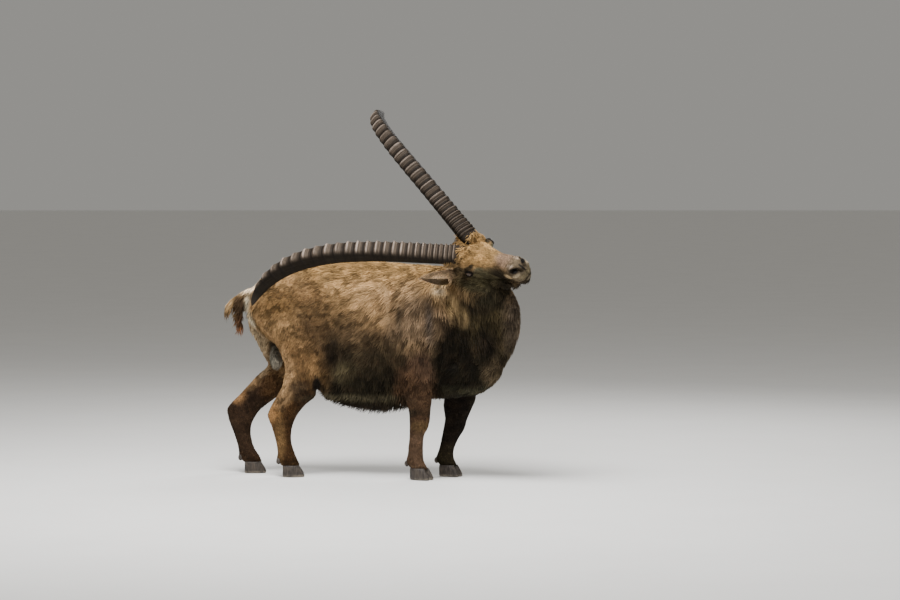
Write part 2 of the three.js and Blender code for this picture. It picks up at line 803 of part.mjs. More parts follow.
place(model, "torso", partBody(false), BROWN_COAT);
place(model, "neck", partBody(true), BROWN_COAT);
place(model, "tail", makeTail(), DARK_COAT);
place(headGroup, "head", makeHead(), BROWN_COAT);
for (const [mark, side] of [["r", -1], ["l", 1]]) {
  place(headGroup, "horn_" + mark, makeHorn(side), HORN_BROWN);
  place(headGroup, "eye_" + mark, eyeball(side), EYE_AMBER);
  place(headGroup, "ear_" + mark, makeEar(side), BROWN_COAT);
}

// Each leg is parted by level cuts, and its upper part keeps clear of the body.
const grown = bodyShape(GAP);
const bodyTool = join([grown.trunk, ...grown.pouch]);
for (const [name, leg] of Object.entries(LEGS)) {
  const [pair, mark] = name.split("_");
  const names = pair === "fore" ? ["forearm", "fore_cannon"] : ["thigh", "shank", "hind_cannon"];
  let rest = below(legSolid(leg), leg.split);
  leg.joints.forEach((height, n) => {
    place(model, `${names[n]}_${mark}`, largest(above(rest, height).subtract(bodyTool)), BROWN_COAT);
    rest = below(rest, height);
  });
  const cannon = join([rest, ...dewclaws(leg)]).trimByPlane([0, 0, 1], HOOF_HEIGHT);
  place(model, `${names.at(-1)}_${mark}`, largest(cannon), DARK_COAT);
  const foot = leg.stations.at(-1);
  place(model, `hoof_${name}_inner`, claw(foot, leg.yaw, mark === "r"), HOOF_BLACK);
  place(model, `hoof_${name}_outer`, claw(foot, leg.yaw, mark === "l"), HOOF_BLACK);
}

// The frame's origin is the middle of the model's footprint, on the floor.
const size = new THREE.Box3().setFromObject(model, true);
const centre = size.getCenter(new THREE.Vector3());
model.position.set(-centre.x, -centre.y, -size.min.z);

export default model;
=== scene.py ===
# %% [markdown]
# # A life-size alpine ibex, dressed in Blender
#
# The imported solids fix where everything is: trunk, neck, head, legs, horns, eyes and hooves.
# This lesson puts one smooth skin inside those coarse solids, gives the skin its folds and
# markings, and then covers it with tufts of real mesh that follow the lie of the coat.
# Everything is in metres, in the same frame as the solids.

import json
import math
import bmesh
import bpy
import numpy as np
from mathutils import Matrix, Vector
from mathutils.kdtree import KDTree

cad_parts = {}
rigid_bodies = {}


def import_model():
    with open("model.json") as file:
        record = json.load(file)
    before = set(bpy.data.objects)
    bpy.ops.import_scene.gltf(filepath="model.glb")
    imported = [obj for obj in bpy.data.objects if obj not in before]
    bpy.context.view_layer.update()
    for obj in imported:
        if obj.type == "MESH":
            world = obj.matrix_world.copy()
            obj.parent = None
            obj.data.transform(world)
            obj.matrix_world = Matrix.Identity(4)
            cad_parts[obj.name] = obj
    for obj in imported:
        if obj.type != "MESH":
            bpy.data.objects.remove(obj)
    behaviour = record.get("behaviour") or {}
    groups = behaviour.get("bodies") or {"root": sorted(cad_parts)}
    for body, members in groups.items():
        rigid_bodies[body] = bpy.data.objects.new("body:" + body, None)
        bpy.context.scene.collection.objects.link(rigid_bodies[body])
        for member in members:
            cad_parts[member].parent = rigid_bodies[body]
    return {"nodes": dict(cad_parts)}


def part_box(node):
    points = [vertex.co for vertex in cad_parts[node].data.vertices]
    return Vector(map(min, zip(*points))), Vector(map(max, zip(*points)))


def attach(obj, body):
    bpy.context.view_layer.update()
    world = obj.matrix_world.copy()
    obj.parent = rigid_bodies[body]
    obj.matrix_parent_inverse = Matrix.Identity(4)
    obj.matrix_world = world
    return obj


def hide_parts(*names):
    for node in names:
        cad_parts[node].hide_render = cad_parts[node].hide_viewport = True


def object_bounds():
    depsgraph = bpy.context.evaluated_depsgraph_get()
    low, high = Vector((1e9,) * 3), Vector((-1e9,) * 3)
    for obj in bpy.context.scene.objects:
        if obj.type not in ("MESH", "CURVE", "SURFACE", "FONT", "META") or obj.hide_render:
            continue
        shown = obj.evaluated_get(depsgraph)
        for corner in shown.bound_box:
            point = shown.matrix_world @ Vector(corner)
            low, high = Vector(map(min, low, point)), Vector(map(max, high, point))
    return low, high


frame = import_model()
CAD_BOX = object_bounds()
MM = 0.001
print("solids:", len(frame["nodes"]), "box:", [round(v, 3) for corner in CAD_BOX for v in corner])

# %% [markdown]
# ## The head's frame and the shift of the solids
#
# The sizes below are the same named sizes that the solids were made from. They were measured
# in a frame of their own, so the lesson reads the shift between the two frames from the right
# eyeball: its middle is known in both.

# %% Frames
HEAD_PLACE = np.array([400, -276, 897]) * MM
HEAD_YAW, HEAD_PITCH, HEAD_ROLL = (math.radians(a) for a in (-48.1, 2.8, 49.3))
HEAD_TURN = np.array(
    Matrix.Rotation(HEAD_YAW, 3, "Z")
    @ Matrix.Rotation(HEAD_PITCH, 3, "Y")
    @ Matrix.Rotation(HEAD_ROLL, 3, "X")
)
EYE_MIDDLE = np.array([0, 74.5, -6]) * MM
EYE_RADIUS = 17 * MM
MIRROR = np.array([1, -1, 1])

low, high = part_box("eye_r")
SHIFT = (np.array(low) + np.array(high)) / 2 - (HEAD_PLACE + HEAD_TURN @ (EYE_MIDDLE * MIRROR))


def head_to_world(points):
    """Points in the head's own frame, in metres, as places in the scene."""
    return np.asarray(points) @ HEAD_TURN.T + HEAD_PLACE + SHIFT


def world_to_head(points):
    return (np.asarray(points) - HEAD_PLACE - SHIFT) @ HEAD_TURN


print("shift of the solids, mm:", np.round(SHIFT / MM, 2))

# %% [markdown]
# ## Camera
#
# The photograph was taken from the animal's right side, from far away and a little above the
# middle of the body. A long lens at 14 m keeps the same flat perspective.

# %% Camera
AIM = Vector((0.288, 0, 0.712)) + Vector(SHIFT)
CAMERA_AWAY = 14
CAMERA_RISE = math.radians(3)
camera_data = bpy.data.cameras.new("camera")
camera_data.lens = 140
camera_data.sensor_width = 36
camera = bpy.data.objects.new("camera", camera_data)
camera.location = AIM + CAMERA_AWAY * Vector((0, -math.cos(CAMERA_RISE), math.sin(CAMERA_RISE)))
camera.rotation_euler = (math.pi / 2 - CAMERA_RISE, 0, 0)
bpy.context.collection.objects.link(camera)
bpy.context.scene.camera = camera
print("camera at", [round(v, 2) for v in camera.location])

# %% [markdown]
# ## Small tools for meshes
#
# A skin is made here by stretching faces over rings of points. Rows of measured sizes are few,
# so a smooth curve runs through them first. The same few helpers make every soft form.

# %% Mesh tools


def flow_through(rows, count):
    """Rows of numbers, resampled evenly along a smooth curve through all of them."""
    rows = np.array(rows, float)
    t = np.linspace(0, len(rows) - 1, count)
    i = np.clip(t.astype(int), 0, len(rows) - 2)
    u = (t - i)[:, None]
    slope = np.gradient(rows, axis=0)
    a, b, m, n = rows[i], rows[i + 1], slope[i], slope[i + 1]
    h = 2 * u**3 - 3 * u**2 + 1, u**3 - 2 * u**2 + u, -2 * u**3 + 3 * u**2, u**3 - u**2
    return h[0] * a + h[1] * m + h[2] * b + h[3] * n


def full_turn(count):
    """Angles evenly spaced over one turn."""
    return np.linspace(0, 2 * math.pi, count, endpoint=False)


def unit(vectors):
    return vectors / np.maximum(np.linalg.norm(vectors, axis=-1, keepdims=True), 1e-9)


def bell(distance, radius):
    """1 at no distance, falling softly to nearly 0 at twice the radius."""
    return np.exp(-((distance / radius) ** 2))


def wave(value, squareness):
    """Rounded-box wave: 2 gives a circle, more is boxier."""
    return np.sign(value) * np.abs(value) ** (2 / squareness)


def stretch(rings):
    """Points and faces of a closed body stretched over rings of equal count."""
    rings = np.asarray(rings)
    rows, count, _ = rings.shape
    grid = np.arange(rows * count).reshape(rows, count)
    turned = np.roll(grid, -1, axis=1)
    faces = np.stack([grid[:-1], turned[:-1], turned[1:], grid[1:]], -1).reshape(-1, 4)
    ends = [list(grid[0][::-1]), list(grid[-1])]
    return rings.reshape(-1, 3), [list(f) for f in faces] + ends


def sphere_rings(tilt, around):
    """Rings of places on a ball of radius 1, at angles from its z axis and round it."""
    tilt, around = tilt[:, None], around[None]
    x, y = np.sin(tilt) * np.cos(around), np.sin(tilt) * np.sin(around)
    return np.stack([x, y, np.cos(tilt) + 0 * around], -1)


def ball(middle, radii, rows=16, sides=24):
    """A squashed ball as a closed body."""
    rings = sphere_rings(np.linspace(0.02, math.pi - 0.02, rows), full_turn(sides))
    return stretch((rings * np.asarray(radii))[::-1] + np.asarray(middle))


def set_on_heading(x, y, yaw, ahead, left, z):
    """Places at height z, ahead and to the left of x, y for someone who looks along yaw."""
    return np.stack([
        x + ahead * math.cos(yaw) - left * math.sin(yaw),
        y + ahead * math.sin(yaw) + left * math.cos(yaw),
        z + 0 * left,
    ], -1)


def to_scene(places_in_mm):
    """Places measured in mm in the solids' own frame, as places in the scene."""
    return np.asarray(places_in_mm) * MM + SHIFT


def show(name, mesh):
    """A new object with this mesh, in the scene."""
    made = bpy.data.objects.new(name, mesh)
    bpy.context.collection.objects.link(made)
    return made


def mesh_object(name, bodies):
    """One object from several bodies, each given as points and faces."""
    points, faces, start = [], [], 0
    for body_points, body_faces in bodies:
        points.append(np.asarray(body_points))
        faces += [[i + start for i in f] for f in body_faces]
        start += len(body_points)
    mesh = bpy.data.meshes.new(name)
    mesh.from_pydata(np.concatenate(points).tolist(), [], faces)
    mesh.update()
    return show(name, mesh)


def read_points(thing, what):
    out = np.empty(len(thing.data.vertices) * 3, np.float32)
    thing.data.vertices.foreach_get(what, out)
    return out.reshape(-1, 3).astype(float)


def places(thing):
    return read_points(thing, "co")


def normals(thing):
    return read_points(thing, "normal")


def store(mesh, title, values):
    """Keep one number for each point of a mesh, for its material to read."""
    mesh.attributes.new(title, "FLOAT", "POINT").data.foreach_set("value", values.astype(np.float32))


def move_to(thing, points):
    thing.data.vertices.foreach_set("co", np.asarray(points, np.float32).ravel())
    thing.data.update()


def bake_modifier(thing, kind, **settings):
    """Adds one modifier and keeps its result as the mesh."""
    modifier = thing.modifiers.new(kind.lower(), kind)
    for key, value in settings.items():
        setattr(modifier, key, value)
    depsgraph = bpy.context.evaluated_depsgraph_get()
    result = bpy.data.meshes.new_from_object(thing.evaluated_get(depsgraph))
    thing.modifiers.clear()
    thing.data = result
    return thing


def smooth_faces(thing):
    thing.data.polygons.foreach_set("use_smooth", np.ones(len(thing.data.polygons), bool))


print("mesh tools ready")

# %% [markdown]
# ## The body under the coat
#
# A real ibex carries two to four centimetres of hair on the trunk and only a few millimetres on
# the legs and face. The skin is therefore stretched over the same sections as the solids, but
# smaller by the depth of the coat. Each limb is a closed body of its own at first.

# %% Trunk and neck sections
TRUNK = [
    # x, y, back, widest line, belly, half width
    (-512, 92, 755, 700, 645, 38),
    (-482, 95, 788, 690, 585, 80),
    (-430, 99, 832, 680, 535, 108),
    (-350, 102, 856, 660, 478, 118),
    (-270, 103, 864, 620, 370, 128),
    (-190, 100, 864, 580, 318, 148),
    (-80, 88, 868, 560, 290, 165),
    (30, 66, 868, 555, 286, 168),
    (130, 32, 862, 560, 303, 160),
    (225, -12, 858, 570, 318, 148),
    (320, -70, 845, 575, 326, 132),
    (400, -127, 800, 570, 342, 112),
    (452, -166, 740, 555, 372, 88),
    (490, -195, 650, 535, 420, 55),
]
NECK = [
    # z, x, y, half length, half width
    (470, 426, -148, 90, 76),
    (540, 422, -145, 132, 102),
    (620, 424, -150, 153, 106),
    (700, 424, -166, 149, 98),
    (768, 408, -176, 134, 87),
    (830, 392, -170, 104, 66),
    (875, 374, -176, 74, 52),
    (900, 360, -180, 42, 34),
]
FORE_YAW, HIND_YAW, NECK_YAW = (math.radians(a) for a in (-31, 2, -37))
TRUNK_COAT, NECK_COAT = 9, 6
CHEST_START, CHEST_RUN = 390, 80
CHEST_UNDER, CHEST_FRONT = 11, 7
BACK_SQUARE, BELLY_SQUARE, LEVEL_SQUARE = 1.9, 2.3, 2.2


def chest_coat(x, rise):
    """Depth of the coat round one section: deeper under the chest, thinner on its front."""
    forward = min(1, max(0, (x - CHEST_START) / CHEST_RUN))
    under = np.clip(0.45 - 1.6 * rise, 0, 1)
    return TRUNK_COAT + forward * (CHEST_UNDER * under - CHEST_FRONT * (1 - under))


def trunk_rings(sides=72, steps=90):
    rows = flow_through(TRUNK, steps)
    t = full_turn(sides)
    yaw = np.arctan2(np.gradient(rows[:, 1]), np.gradient(rows[:, 0]))
    upper = np.sin(t) > 0
    squareness = np.where(upper, BACK_SQUARE, BELLY_SQUARE)
    rings = []
    for (x, y, back, wide, belly, half), turn in zip(rows, yaw):
        coat = chest_coat(x, np.sin(t))
        left = (half - coat) * wave(np.cos(t), squareness)
        height = np.where(upper, back - wide, wide - belly) - coat
        rise = wide + height * wave(np.sin(t), squareness)
        rings.append(set_on_heading(x, y, turn, 0, left, rise))
    rings = np.array(rings)
    rings[0, :, 0] += TRUNK_COAT
    rings[-1, :, 0] -= chest_coat(TRUNK[-1][0], np.sin(t))
    return to_scene(rings)


def level_rings(rows, yaw, coat_at, sides=48, steps=70):
    """Level rings through rows of height, place, half length and half width."""
    t = full_turn(sides)
    rings = []
    for z, x, y, fore, side in flow_through(rows, steps):
        ahead = (fore - coat_at(z)) * wave(np.cos(t), LEVEL_SQUARE)
        left = (side - coat_at(z)) * wave(np.sin(t), LEVEL_SQUARE)
        rings.append(set_on_heading(x, y, yaw, ahead, left, z))
    return to_scene(rings)


print("trunk rings", trunk_rings().shape, "neck rows", len(NECK))

# %% [markdown]
# ## Legs and tail
#
# Each leg is a stack of level sections from the shoulder or hip to the coronet, where the
# hooves begin. The coat gets thinner on the way down.

# %% Legs and tail
LEGS = {
    "fore_r": (FORE_YAW, [
        (610, 190, -65, 80, 42), (500, 172, -88, 92, 52), (404, 164, -97, 72, 50),
        (344, 162, -97, 66, 46), (280, 167, -95, 50, 42), (235, 167, -93, 45, 39),
        (205, 163, -92, 40, 36), (172, 155, -92, 33, 28), (110, 151, -90, 34, 28),
        (72, 150, -89, 38, 33), (45, 167, -99, 38, 32),
    ]),
    "fore_l": (FORE_YAW, [
        (610, 300, 55, 80, 42), (500, 318, 66, 92, 52), (404, 325, 66, 74, 50),
        (324, 329, 62, 74, 46), (280, 320, 60, 68, 42), (232, 313, 58, 51, 40),
        (192, 304, 56, 47, 38), (149, 287, 54, 38, 30), (108, 274, 52, 34, 28),
        (72, 268, 50, 38, 33), (45, 283, 40, 38, 32),
    ]),
    "hind_r": (HIND_YAW, [
        (790, -388, 62, 60, 40), (700, -378, 42, 108, 58), (620, -352, 28, 122, 70),
        (560, -310, 20, 122, 70), (512, -285, 17, 120, 68), (448, -290, 16, 90, 56),
        (374, -312, 16, 76, 44), (328, -331, 16, 80, 40), (288, -361, 17, 72, 37),
        (248, -384, 18, 63, 34), (202, -386, 20, 45, 32), (148, -381, 22, 34, 28),
        (102, -371, 22, 36, 28), (72, -366, 22, 42, 34), (45, -350, 20, 40, 32),
    ]),
    "hind_l": (HIND_YAW, [
        (790, -405, 140, 60, 40), (700, -412, 158, 108, 58), (620, -408, 172, 122, 70),
        (545, -384, 177, 116, 68), (484, -365, 179, 108, 62), (440, -362, 180, 95, 52),
        (392, -412, 182, 93, 44), (330, -470, 183, 90, 40), (270, -540, 184, 76, 37),
        (236, -556, 184, 62, 34), (196, -560, 184, 46, 32), (152, -553, 184, 36, 28),
        (105, -540, 184, 35, 28), (72, -528, 184, 42, 34), (45, -512, 183, 40, 32),
    ]),
}
TAIL = [(-468, 93, 748), (-513, 92, 742), (-554, 91, 722), (-588, 90, 699), (-608, 90, 674)]
TAIL_SKIRT = [(-500, 92, 728), (-535, 92, 706), (-558, 91, 680), (-566, 91, 652)]
TAIL_STRAND = [(-548, 91, 712), (-558, 91, 680), (-560, 91, 640), (-556, 91, 596)]

FOOT_COAT, THIGH_COAT = 3, 9
FOOT_TOP, THIGH_LOW = 150, 500
GROIN, GROIN_REACH, GROIN_SPREAD = (-412, 100, 470), (23, 20, 40), 14
NEARLY_UP = (0.03, 0.05, 1.0)


def leg_coat(z):
    """Depth of the leg's coat at a height, thin at the foot and deeper on the thigh."""
    share = min(1, max(0, (z - FOOT_TOP) / (THIGH_LOW - FOOT_TOP)))
    return FOOT_COAT + (THIGH_COAT - FOOT_COAT) * share


def tube(points, root_radius, tip_radius, sides=20, steps=30):
    """A closed body along a smooth line, with a radius that changes evenly along it."""
    line = flow_through(points, steps)
    ahead = unit(np.gradient(line, axis=0))
    side = unit(np.cross(ahead, NEARLY_UP))
    up = np.cross(side, ahead)
    t = full_turn(sides)
    thick = root_radius - (root_radius - tip_radius) * np.linspace(0, 1, steps)
    across = side[:, None] * np.cos(t)[None, :, None] * thick[:, None, None]
    above = up[:, None] * np.sin(t)[None, :, None] * thick[:, None, None]
    return stretch(line[:, None] + across + above)


def in_scene(body):
    points, faces = body
    return to_scene(points), faces


body_parts = [stretch(trunk_rings()), stretch(level_rings(NECK, NECK_YAW, lambda z: NECK_COAT))]
for yaw, rows in LEGS.values():
    body_parts.append(stretch(level_rings(rows, yaw, leg_coat)))
for line, *radii in ((TAIL, 16, 9), (TAIL_SKIRT, 15, 10), (TAIL_STRAND, 14, 7)):
    body_parts.append(in_scene(tube(line, *radii)))
for side in (-1, 1):
    middle = np.array(GROIN) + [0, GROIN_SPREAD * side, 0]
    body_parts.append(in_scene(ball(middle, GROIN_REACH)))
print("bodies of the trunk and limbs:", len(body_parts))

# %% [markdown]
# ## Head
#
# The skull is stretched over sections from the nape to the nose. Swellings round the horn
# roots, over the eyes and at the roots of the ears give it the ibex look. The smooth forms are
# then melted together by a remesh, which leaves no seam.

# %% Head forms
HEAD = [
    # x, top, widest line, jaw, half width
    (-140, 8, -25, -62, 30),
    (-122, 46, -22, -92, 54),
    (-90, 64, -14, -112, 66),
    (-50, 70, -10, -122, 70),
    (-15, 64, -6, -122, 72),
    (15, 56, -8, -118, 68),
    (45, 45, -20, -114, 58),
    (85, 30, -38, -111, 50),
    (125, 17, -50, -112, 46),
    (160, 7, -56, -115, 46),
    (188, -4, -58, -112, 45),
    (208, -17, -60, -103, 38),
    (220, -33, -60, -89, 24),
    (224, -46, -60, -75, 10),
]
SWELLINGS = [
    ((-72, 53, 47), (42, 36, 42)),
    ((-20, 52, 35), (42, 30, 30)),
    ((-1, 60, -1), (36, 27, 25)),
    ((-98, 62, -33), (28, 25, 25)),
    ((-16, 42, 58), (26, 32, 28)),
    ((48, 33, -108), (36, 27, 27)),
    ((95, 31, -112), (38, 25, 25)),
    ((138, 27, -113), (30, 20, 20)),
]

NOSE_COAT, CROWN_COAT = 1, 4
NOSE_BACK, NOSE_RUN = 190, 80
SKULL_SQUARE = 2.3
NARROW_ABOVE, NARROW_BELOW = 0.12, 0.3


def face_coat(x):
    """Depth of the hair on the head: almost none at the nose."""
    return NOSE_COAT + (CROWN_COAT - NOSE_COAT) * min(1, max(0, (NOSE_BACK - x) / NOSE_RUN))


def skull_rings(sides=64, steps=90):
    t = full_turn(sides)
    upper = np.sin(t) > 0
    rings = []
    for x, top, wide, jaw, half in flow_through(HEAD, steps):
        coat = face_coat(x)
        height = np.where(upper, top - wide, wide - jaw) - coat
        narrow = 1 - np.where(upper, NARROW_ABOVE, NARROW_BELOW) * np.abs(np.sin(t))
        left = (half - coat) * wave(np.cos(t), SKULL_SQUARE) * narrow
        rings.append(np.stack([x + 0 * t, left, wide + height * wave(np.sin(t), SKULL_SQUARE)], -1))
    return np.array(rings)


head_parts = [stretch(skull_rings())]
for middle, radii in SWELLINGS:
    for side in (-1, 1):
        deep = face_coat(middle[0])
        head_parts.append(ball(np.array(middle) * [1, side, 1], np.array(radii) - deep))
head_parts = [(head_to_world(np.asarray(p) * MM), f) for p, f in head_parts]
print("forms of the head:", len(head_parts))

# %% [markdown]
# ## One skin
#
# The trunk and limbs are melted at a grid of 6 mm and the head at 2.5 mm, because the face
# needs finer folds. A few rounds of smoothing blend the places where limbs meet. The two are
# joined into one closed skin after the head has its folds.

# %% Melt the body and the head
BODY_GRID, HEAD_GRID = 6 * MM, 2.5 * MM
BODY_ROUNDS, HEAD_ROUNDS = 9, 14


def melt(name, parts, grid, rounds):
    made = mesh_object(name, parts)
    bake_modifier(made, "REMESH", mode="VOXEL", voxel_size=grid, adaptivity=0)
    return bake_modifier(made, "SMOOTH", factor=0.5, iterations=rounds)


skin = melt("skin", body_parts, BODY_GRID, BODY_ROUNDS)
head = melt("head_form", head_parts, HEAD_GRID, HEAD_ROUNDS)
print("body faces", len(skin.data.polygons), "head faces", len(head.data.polygons))

# %% [markdown]
# ## Muscles and folds of the body
#
# Under the coat the shoulder blade, the ribs, the hip and the thigh stand out, and between them
# lie hollows: behind the shoulder, in the flank, along the neck. Each is a soft bump or a soft
# line in the side view. Both sides get the same ones, and only faces that look sideways move,
# so the outlines of the back and belly stay.

# %% Muscles and folds
BODY_FORMS = [
    # x, z, reach along, reach up, height
    (160, 612, 80, 115, 13),
    (-92, 540, 120, 110, 6),
    (-212, 585, 46, 90, -13),
    (-240, 775, 36, 34, 8),
    (-345, 600, 85, 110, 9),
    (-492, 684, 34, 44, 20),
    (-215, 322, 60, 34, 17),
    (-92, 375, 120, 45, 7),
    (108, 424, 24, 26, 7),
    (30, 760, 120, 40, -4),
    (395, 640, 60, 150, 7),
    (330, 455, 60, 55, -7),
]
BODY_LINES = [
    # depth, half breadth, places in the side view
    (9, 22, [(45, 760), (52, 640), (70, 520), (92, 440)]),
    (15, 20, [(242, 765), (285, 700), (312, 620), (316, 540), (300, 470)]),
    (-5, 22, [(300, 770), (345, 700), (372, 630)]),
    (12, 13, [(250, 560), (246, 480), (240, 410), (236, 350)]),
    (-6, 16, [(212, 560), (206, 490), (204, 420)]),
    (9, 13, [(-150, 520), (-172, 470), (-196, 415), (-222, 372)]),
    (-7, 15, [(-178, 540), (-205, 480), (-232, 420), (-255, 375)]),
    (5, 16, [(-440, 640), (-425, 560), (-395, 500)]),
    (5, 9, [(-338, 380), (-362, 330), (-396, 290)]),
]


def distance_to_line(points, line):
    """Distance from each point to a line given by closely spaced points."""
    away = np.full(len(points), 1e9)
    for place in line:
        away = np.minimum(away, np.linalg.norm(points - place, axis=1))
    return away


body_at = (places(skin) - SHIFT) / MM
body_out = normals(skin)
push = np.zeros(len(body_at))
for x, z, reach_x, reach_z, height in BODY_FORMS:
    push += height * bell((body_at[:, 0] - x) / reach_x, 1) * bell((body_at[:, 2] - z) / reach_z, 1)
for depth, breadth, line in BODY_LINES:
    away = distance_to_line(body_at[:, [0, 2]], flow_through(line, 24))
    push -= depth * bell(away, breadth)
sideways = np.clip((np.abs(body_out[:, 1]) - 0.15) / 0.4, 0, 1)
move_to(skin, places(skin) + body_out * (push * sideways * MM)[:, None])
print("swells and hollows, mm:", round(float(push.max()), 1), round(float(push.min()), 1))

# %% [markdown]
# ## Folds of the face
#
# Nostrils, lips, the cleft of the nose and the trough under the eye are lines that run over the
# face. A sculptor would press them in with a wire. The same is done here in numbers: each line
# is laid on the surface, and every point near it is pushed in or out along its normal, less and
# less with its distance.

# %% Press lines and swell forms


def laid_on(points, line, count=26):
    """A measured line, made dense and dropped to the nearest points of the surface."""
    dense = flow_through(line, count)
    return np.array([points[np.argmin(np.linalg.norm(points - place, axis=1))] for place in dense])


FACE_LINES = [
    # name, depth, half breadth, height of the rim beside it, places on the left half
    ("nostril", 15.0, 5.4, 2.6, [
        (221, 11, -46), (217, 18, -36), (209, 25, -29), (199, 30, -26), (190, 33, -30),
    ]),
    ("nose cleft", 2.6, 2.0, 1.0, [(228, 0, -50), (227, 0, -66), (222, 0, -86)]),
    ("mouth", 9.0, 3.4, 2.6, [
        (112, 41, -97), (140, 43, -92), (172, 43, -91), (200, 34, -90), (217, 12, -88), (219, 0, -87),
    ]),
    ("nose wing", -3.0, 5.0, 0.0, [(214, 18, -20), (202, 26, -13), (188, 34, -18)]),
    ("nose wrinkle", 1.6, 2.2, 0.6, [(196, 6, -8), (188, 20, -8), (180, 32, -20)]),
    ("nose wrinkle", 1.4, 2.2, 0.6, [(184, 6, -3), (175, 20, -4), (166, 32, -16)]),
    ("lip edge", -2.2, 4.0, 0.0, [(214, 14, -98), (200, 32, -98), (172, 42, -100)]),
    ("tear trough", 2.6, 5.0, 0.5, [(24, 66, -14), (42, 56, -22), (66, 48, -34)]),
    ("cheek edge", 2.4, 9.0, 0.8, [(-60, 60, -90), (-20, 62, -104), (20, 56, -104)]),
]
FACE_FORMS = [
    # place on the left half, reach, height: positive swells, negative hollows
    ((-6, 66, 24), 15, 3.0),
    ((-40, 68, -58), 30, 4.0),
    ((62, 50, -66), 20, -3.5),
    ((40, 40, 10), 20, -2.0),
    ((150, 8, 10), 30, 2.0),
    ((200, 36, -62), 16, 4.0),
    ((206, 16, -22), 12, 1.5),
    ((214, 14, -70), 13, 2.5),
    ((192, 0, -110), 26, 9.0),
    ((176, 30, -104), 18, 4.0),
    ((150, 30, -108), 20, -2.0),
    ((104, 44, -30), 22, -2.0),
]

RIM_AWAY = 2.2


def on_left_half(head_at):
    """Places of the head's frame, all brought to its left half."""
    return head_at * [1, 0, 1] + np.abs(head_at) * [0, 1, 0]


at = world_to_head(places(head)) / MM
out = normals(head) @ HEAD_TURN
half = on_left_half(at)
push = np.zeros(len(at))
for middle, reach, height in FACE_FORMS:
    push += height * bell(np.linalg.norm(half - middle, axis=1), reach)
laid = {}
for title, depth, breadth, rim, line in FACE_LINES:
    laid[title] = laid_on(half, line)
    away = distance_to_line(half, laid[title])
    push += rim * bell(away - RIM_AWAY * breadth, breadth) - depth * bell(away, breadth)
at = at + out * push[:, None]
print("face lines:", len(FACE_LINES), "deepest press, mm:", round(float(push.min()), 1))

# %% [markdown]
# ## Eye sockets and lids
#
# The eyeball stands a little out of the side of the skull and looks outward and slightly ahead.
# The skin over it is pushed back behind the ball inside an almond opening. A ring with a
# rounded margin then makes the lids: its section starts at the ball, turns over the margin and
# runs down under the skin, so the union below leaves a real lid edge.

# %% Sockets and lids
GAZE = np.array([0.25, 0.95, 0.10])
GAZE /= np.linalg.norm(GAZE)
EYE_FORWARD = np.cross(np.cross(GAZE, [1, 0, 0.12]), GAZE)
EYE_FORWARD /= np.linalg.norm(EYE_FORWARD)
EYE_UP = np.cross(EYE_FORWARD, GAZE)
BALL = EYE_RADIUS / MM
LID_SPAN, LID_RISE, LID_DROP = 15.0, 9.2, 8.0
LID_THICK, LID_TILT, LID_SQUARE = 1.9, 0.10, 1.7
SOCKET_SUNK, SOCKET_EDGE, SOCKET_SOFT = 3.5, 1.45, 0.3


def opening(angle, grow=0.0):
    """Edge of the almond opening in the eye's own frame: ahead and up."""
    ahead = (LID_SPAN + grow) * np.cos(angle)
    lift = np.where(np.sin(angle) > 0, LID_RISE + grow, LID_DROP + grow)
    return ahead, lift * wave(np.sin(angle), LID_SQUARE) - LID_TILT * ahead


def eye_place(side):
    return EYE_MIDDLE / MM * [1, side, 1]


def eye_axes(side):
    """Rows: ahead, up and gaze of one eye, in the head's frame."""
    flip = np.array([1, side, 1])
    return np.array([EYE_FORWARD * flip, EYE_UP * flip, GAZE * flip])


def seen_from_eye(head_at, side):
    """Places as distances ahead, up and out along the gaze from the middle of one eye."""
    return (head_at - eye_place(side)) @ eye_axes(side).T


for side in (-1, 1):
    seen = seen_from_eye(at, side)
    angle = np.arctan2(seen[:, 1] + LID_TILT * seen[:, 0], seen[:, 0])
    ahead, up = opening(angle)
    edge = np.hypot(ahead, up)
    inside = np.hypot(seen[:, 0], seen[:, 1]) / edge
    distance = np.linalg.norm(seen, axis=1)
    sink = np.clip((SOCKET_EDGE - inside) / SOCKET_SOFT, 0, 1) * (seen[:, 2] > 0)
    target = np.minimum(distance, BALL - SOCKET_SUNK)
    at += (seen * ((target / distance - 1) * sink)[:, None]) @ eye_axes(side)
move_to(head, head_to_world(at * MM))


def lid_ring(side, around=96):
    """The lids of one eye as a closed ring with a rounded margin."""
    # grow of the opening and distance from the ball's middle, once round the section
    section = [
        (6.0, BALL - 2.0), (2.0, BALL - 0.3), (0.4, BALL + 0.25), (0.0, BALL + 0.9),
        (0.1, BALL + LID_THICK * 0.7), (0.9, BALL + LID_THICK), (2.4, BALL + LID_THICK * 1.02),
        (3.6, BALL + LID_THICK * 0.72), (4.6, BALL + LID_THICK * 0.9), (6.5, BALL + LID_THICK * 0.95),
        (9.5, BALL + LID_THICK * 0.3), (12.0, BALL - 1.5), (9.0, BALL - 3.0),
    ]
    angle = full_turn(around)
    rings = []
    for grow, distance in section:
        ahead, up = opening(angle, grow)
        across = np.hypot(ahead, up)
        polar = np.minimum(across / BALL, 1.9)
        flat = np.stack([ahead / across, up / across], -1) * np.sin(polar)[:, None]
        seen = np.column_stack([flat, np.cos(polar)]) * distance
        rings.append(seen @ eye_axes(side) + eye_place(side))
    rings = np.array(rings)
    rows = len(section)
    grid = np.arange(rows * around).reshape(rows, around)
    below, turned = np.roll(grid, -1, axis=0), np.roll(grid, -1, axis=1)
    faces = np.stack([grid, turned, np.roll(below, -1, axis=1), below], -1).reshape(-1, 4)
    if side > 0:
        faces = faces[:, ::-1]
    return head_to_world(rings.reshape(-1, 3) * MM), [list(f) for f in faces]


lids = [lid_ring(side) for side in (-1, 1)]
print("lid ring points:", len(lids[0][0]))

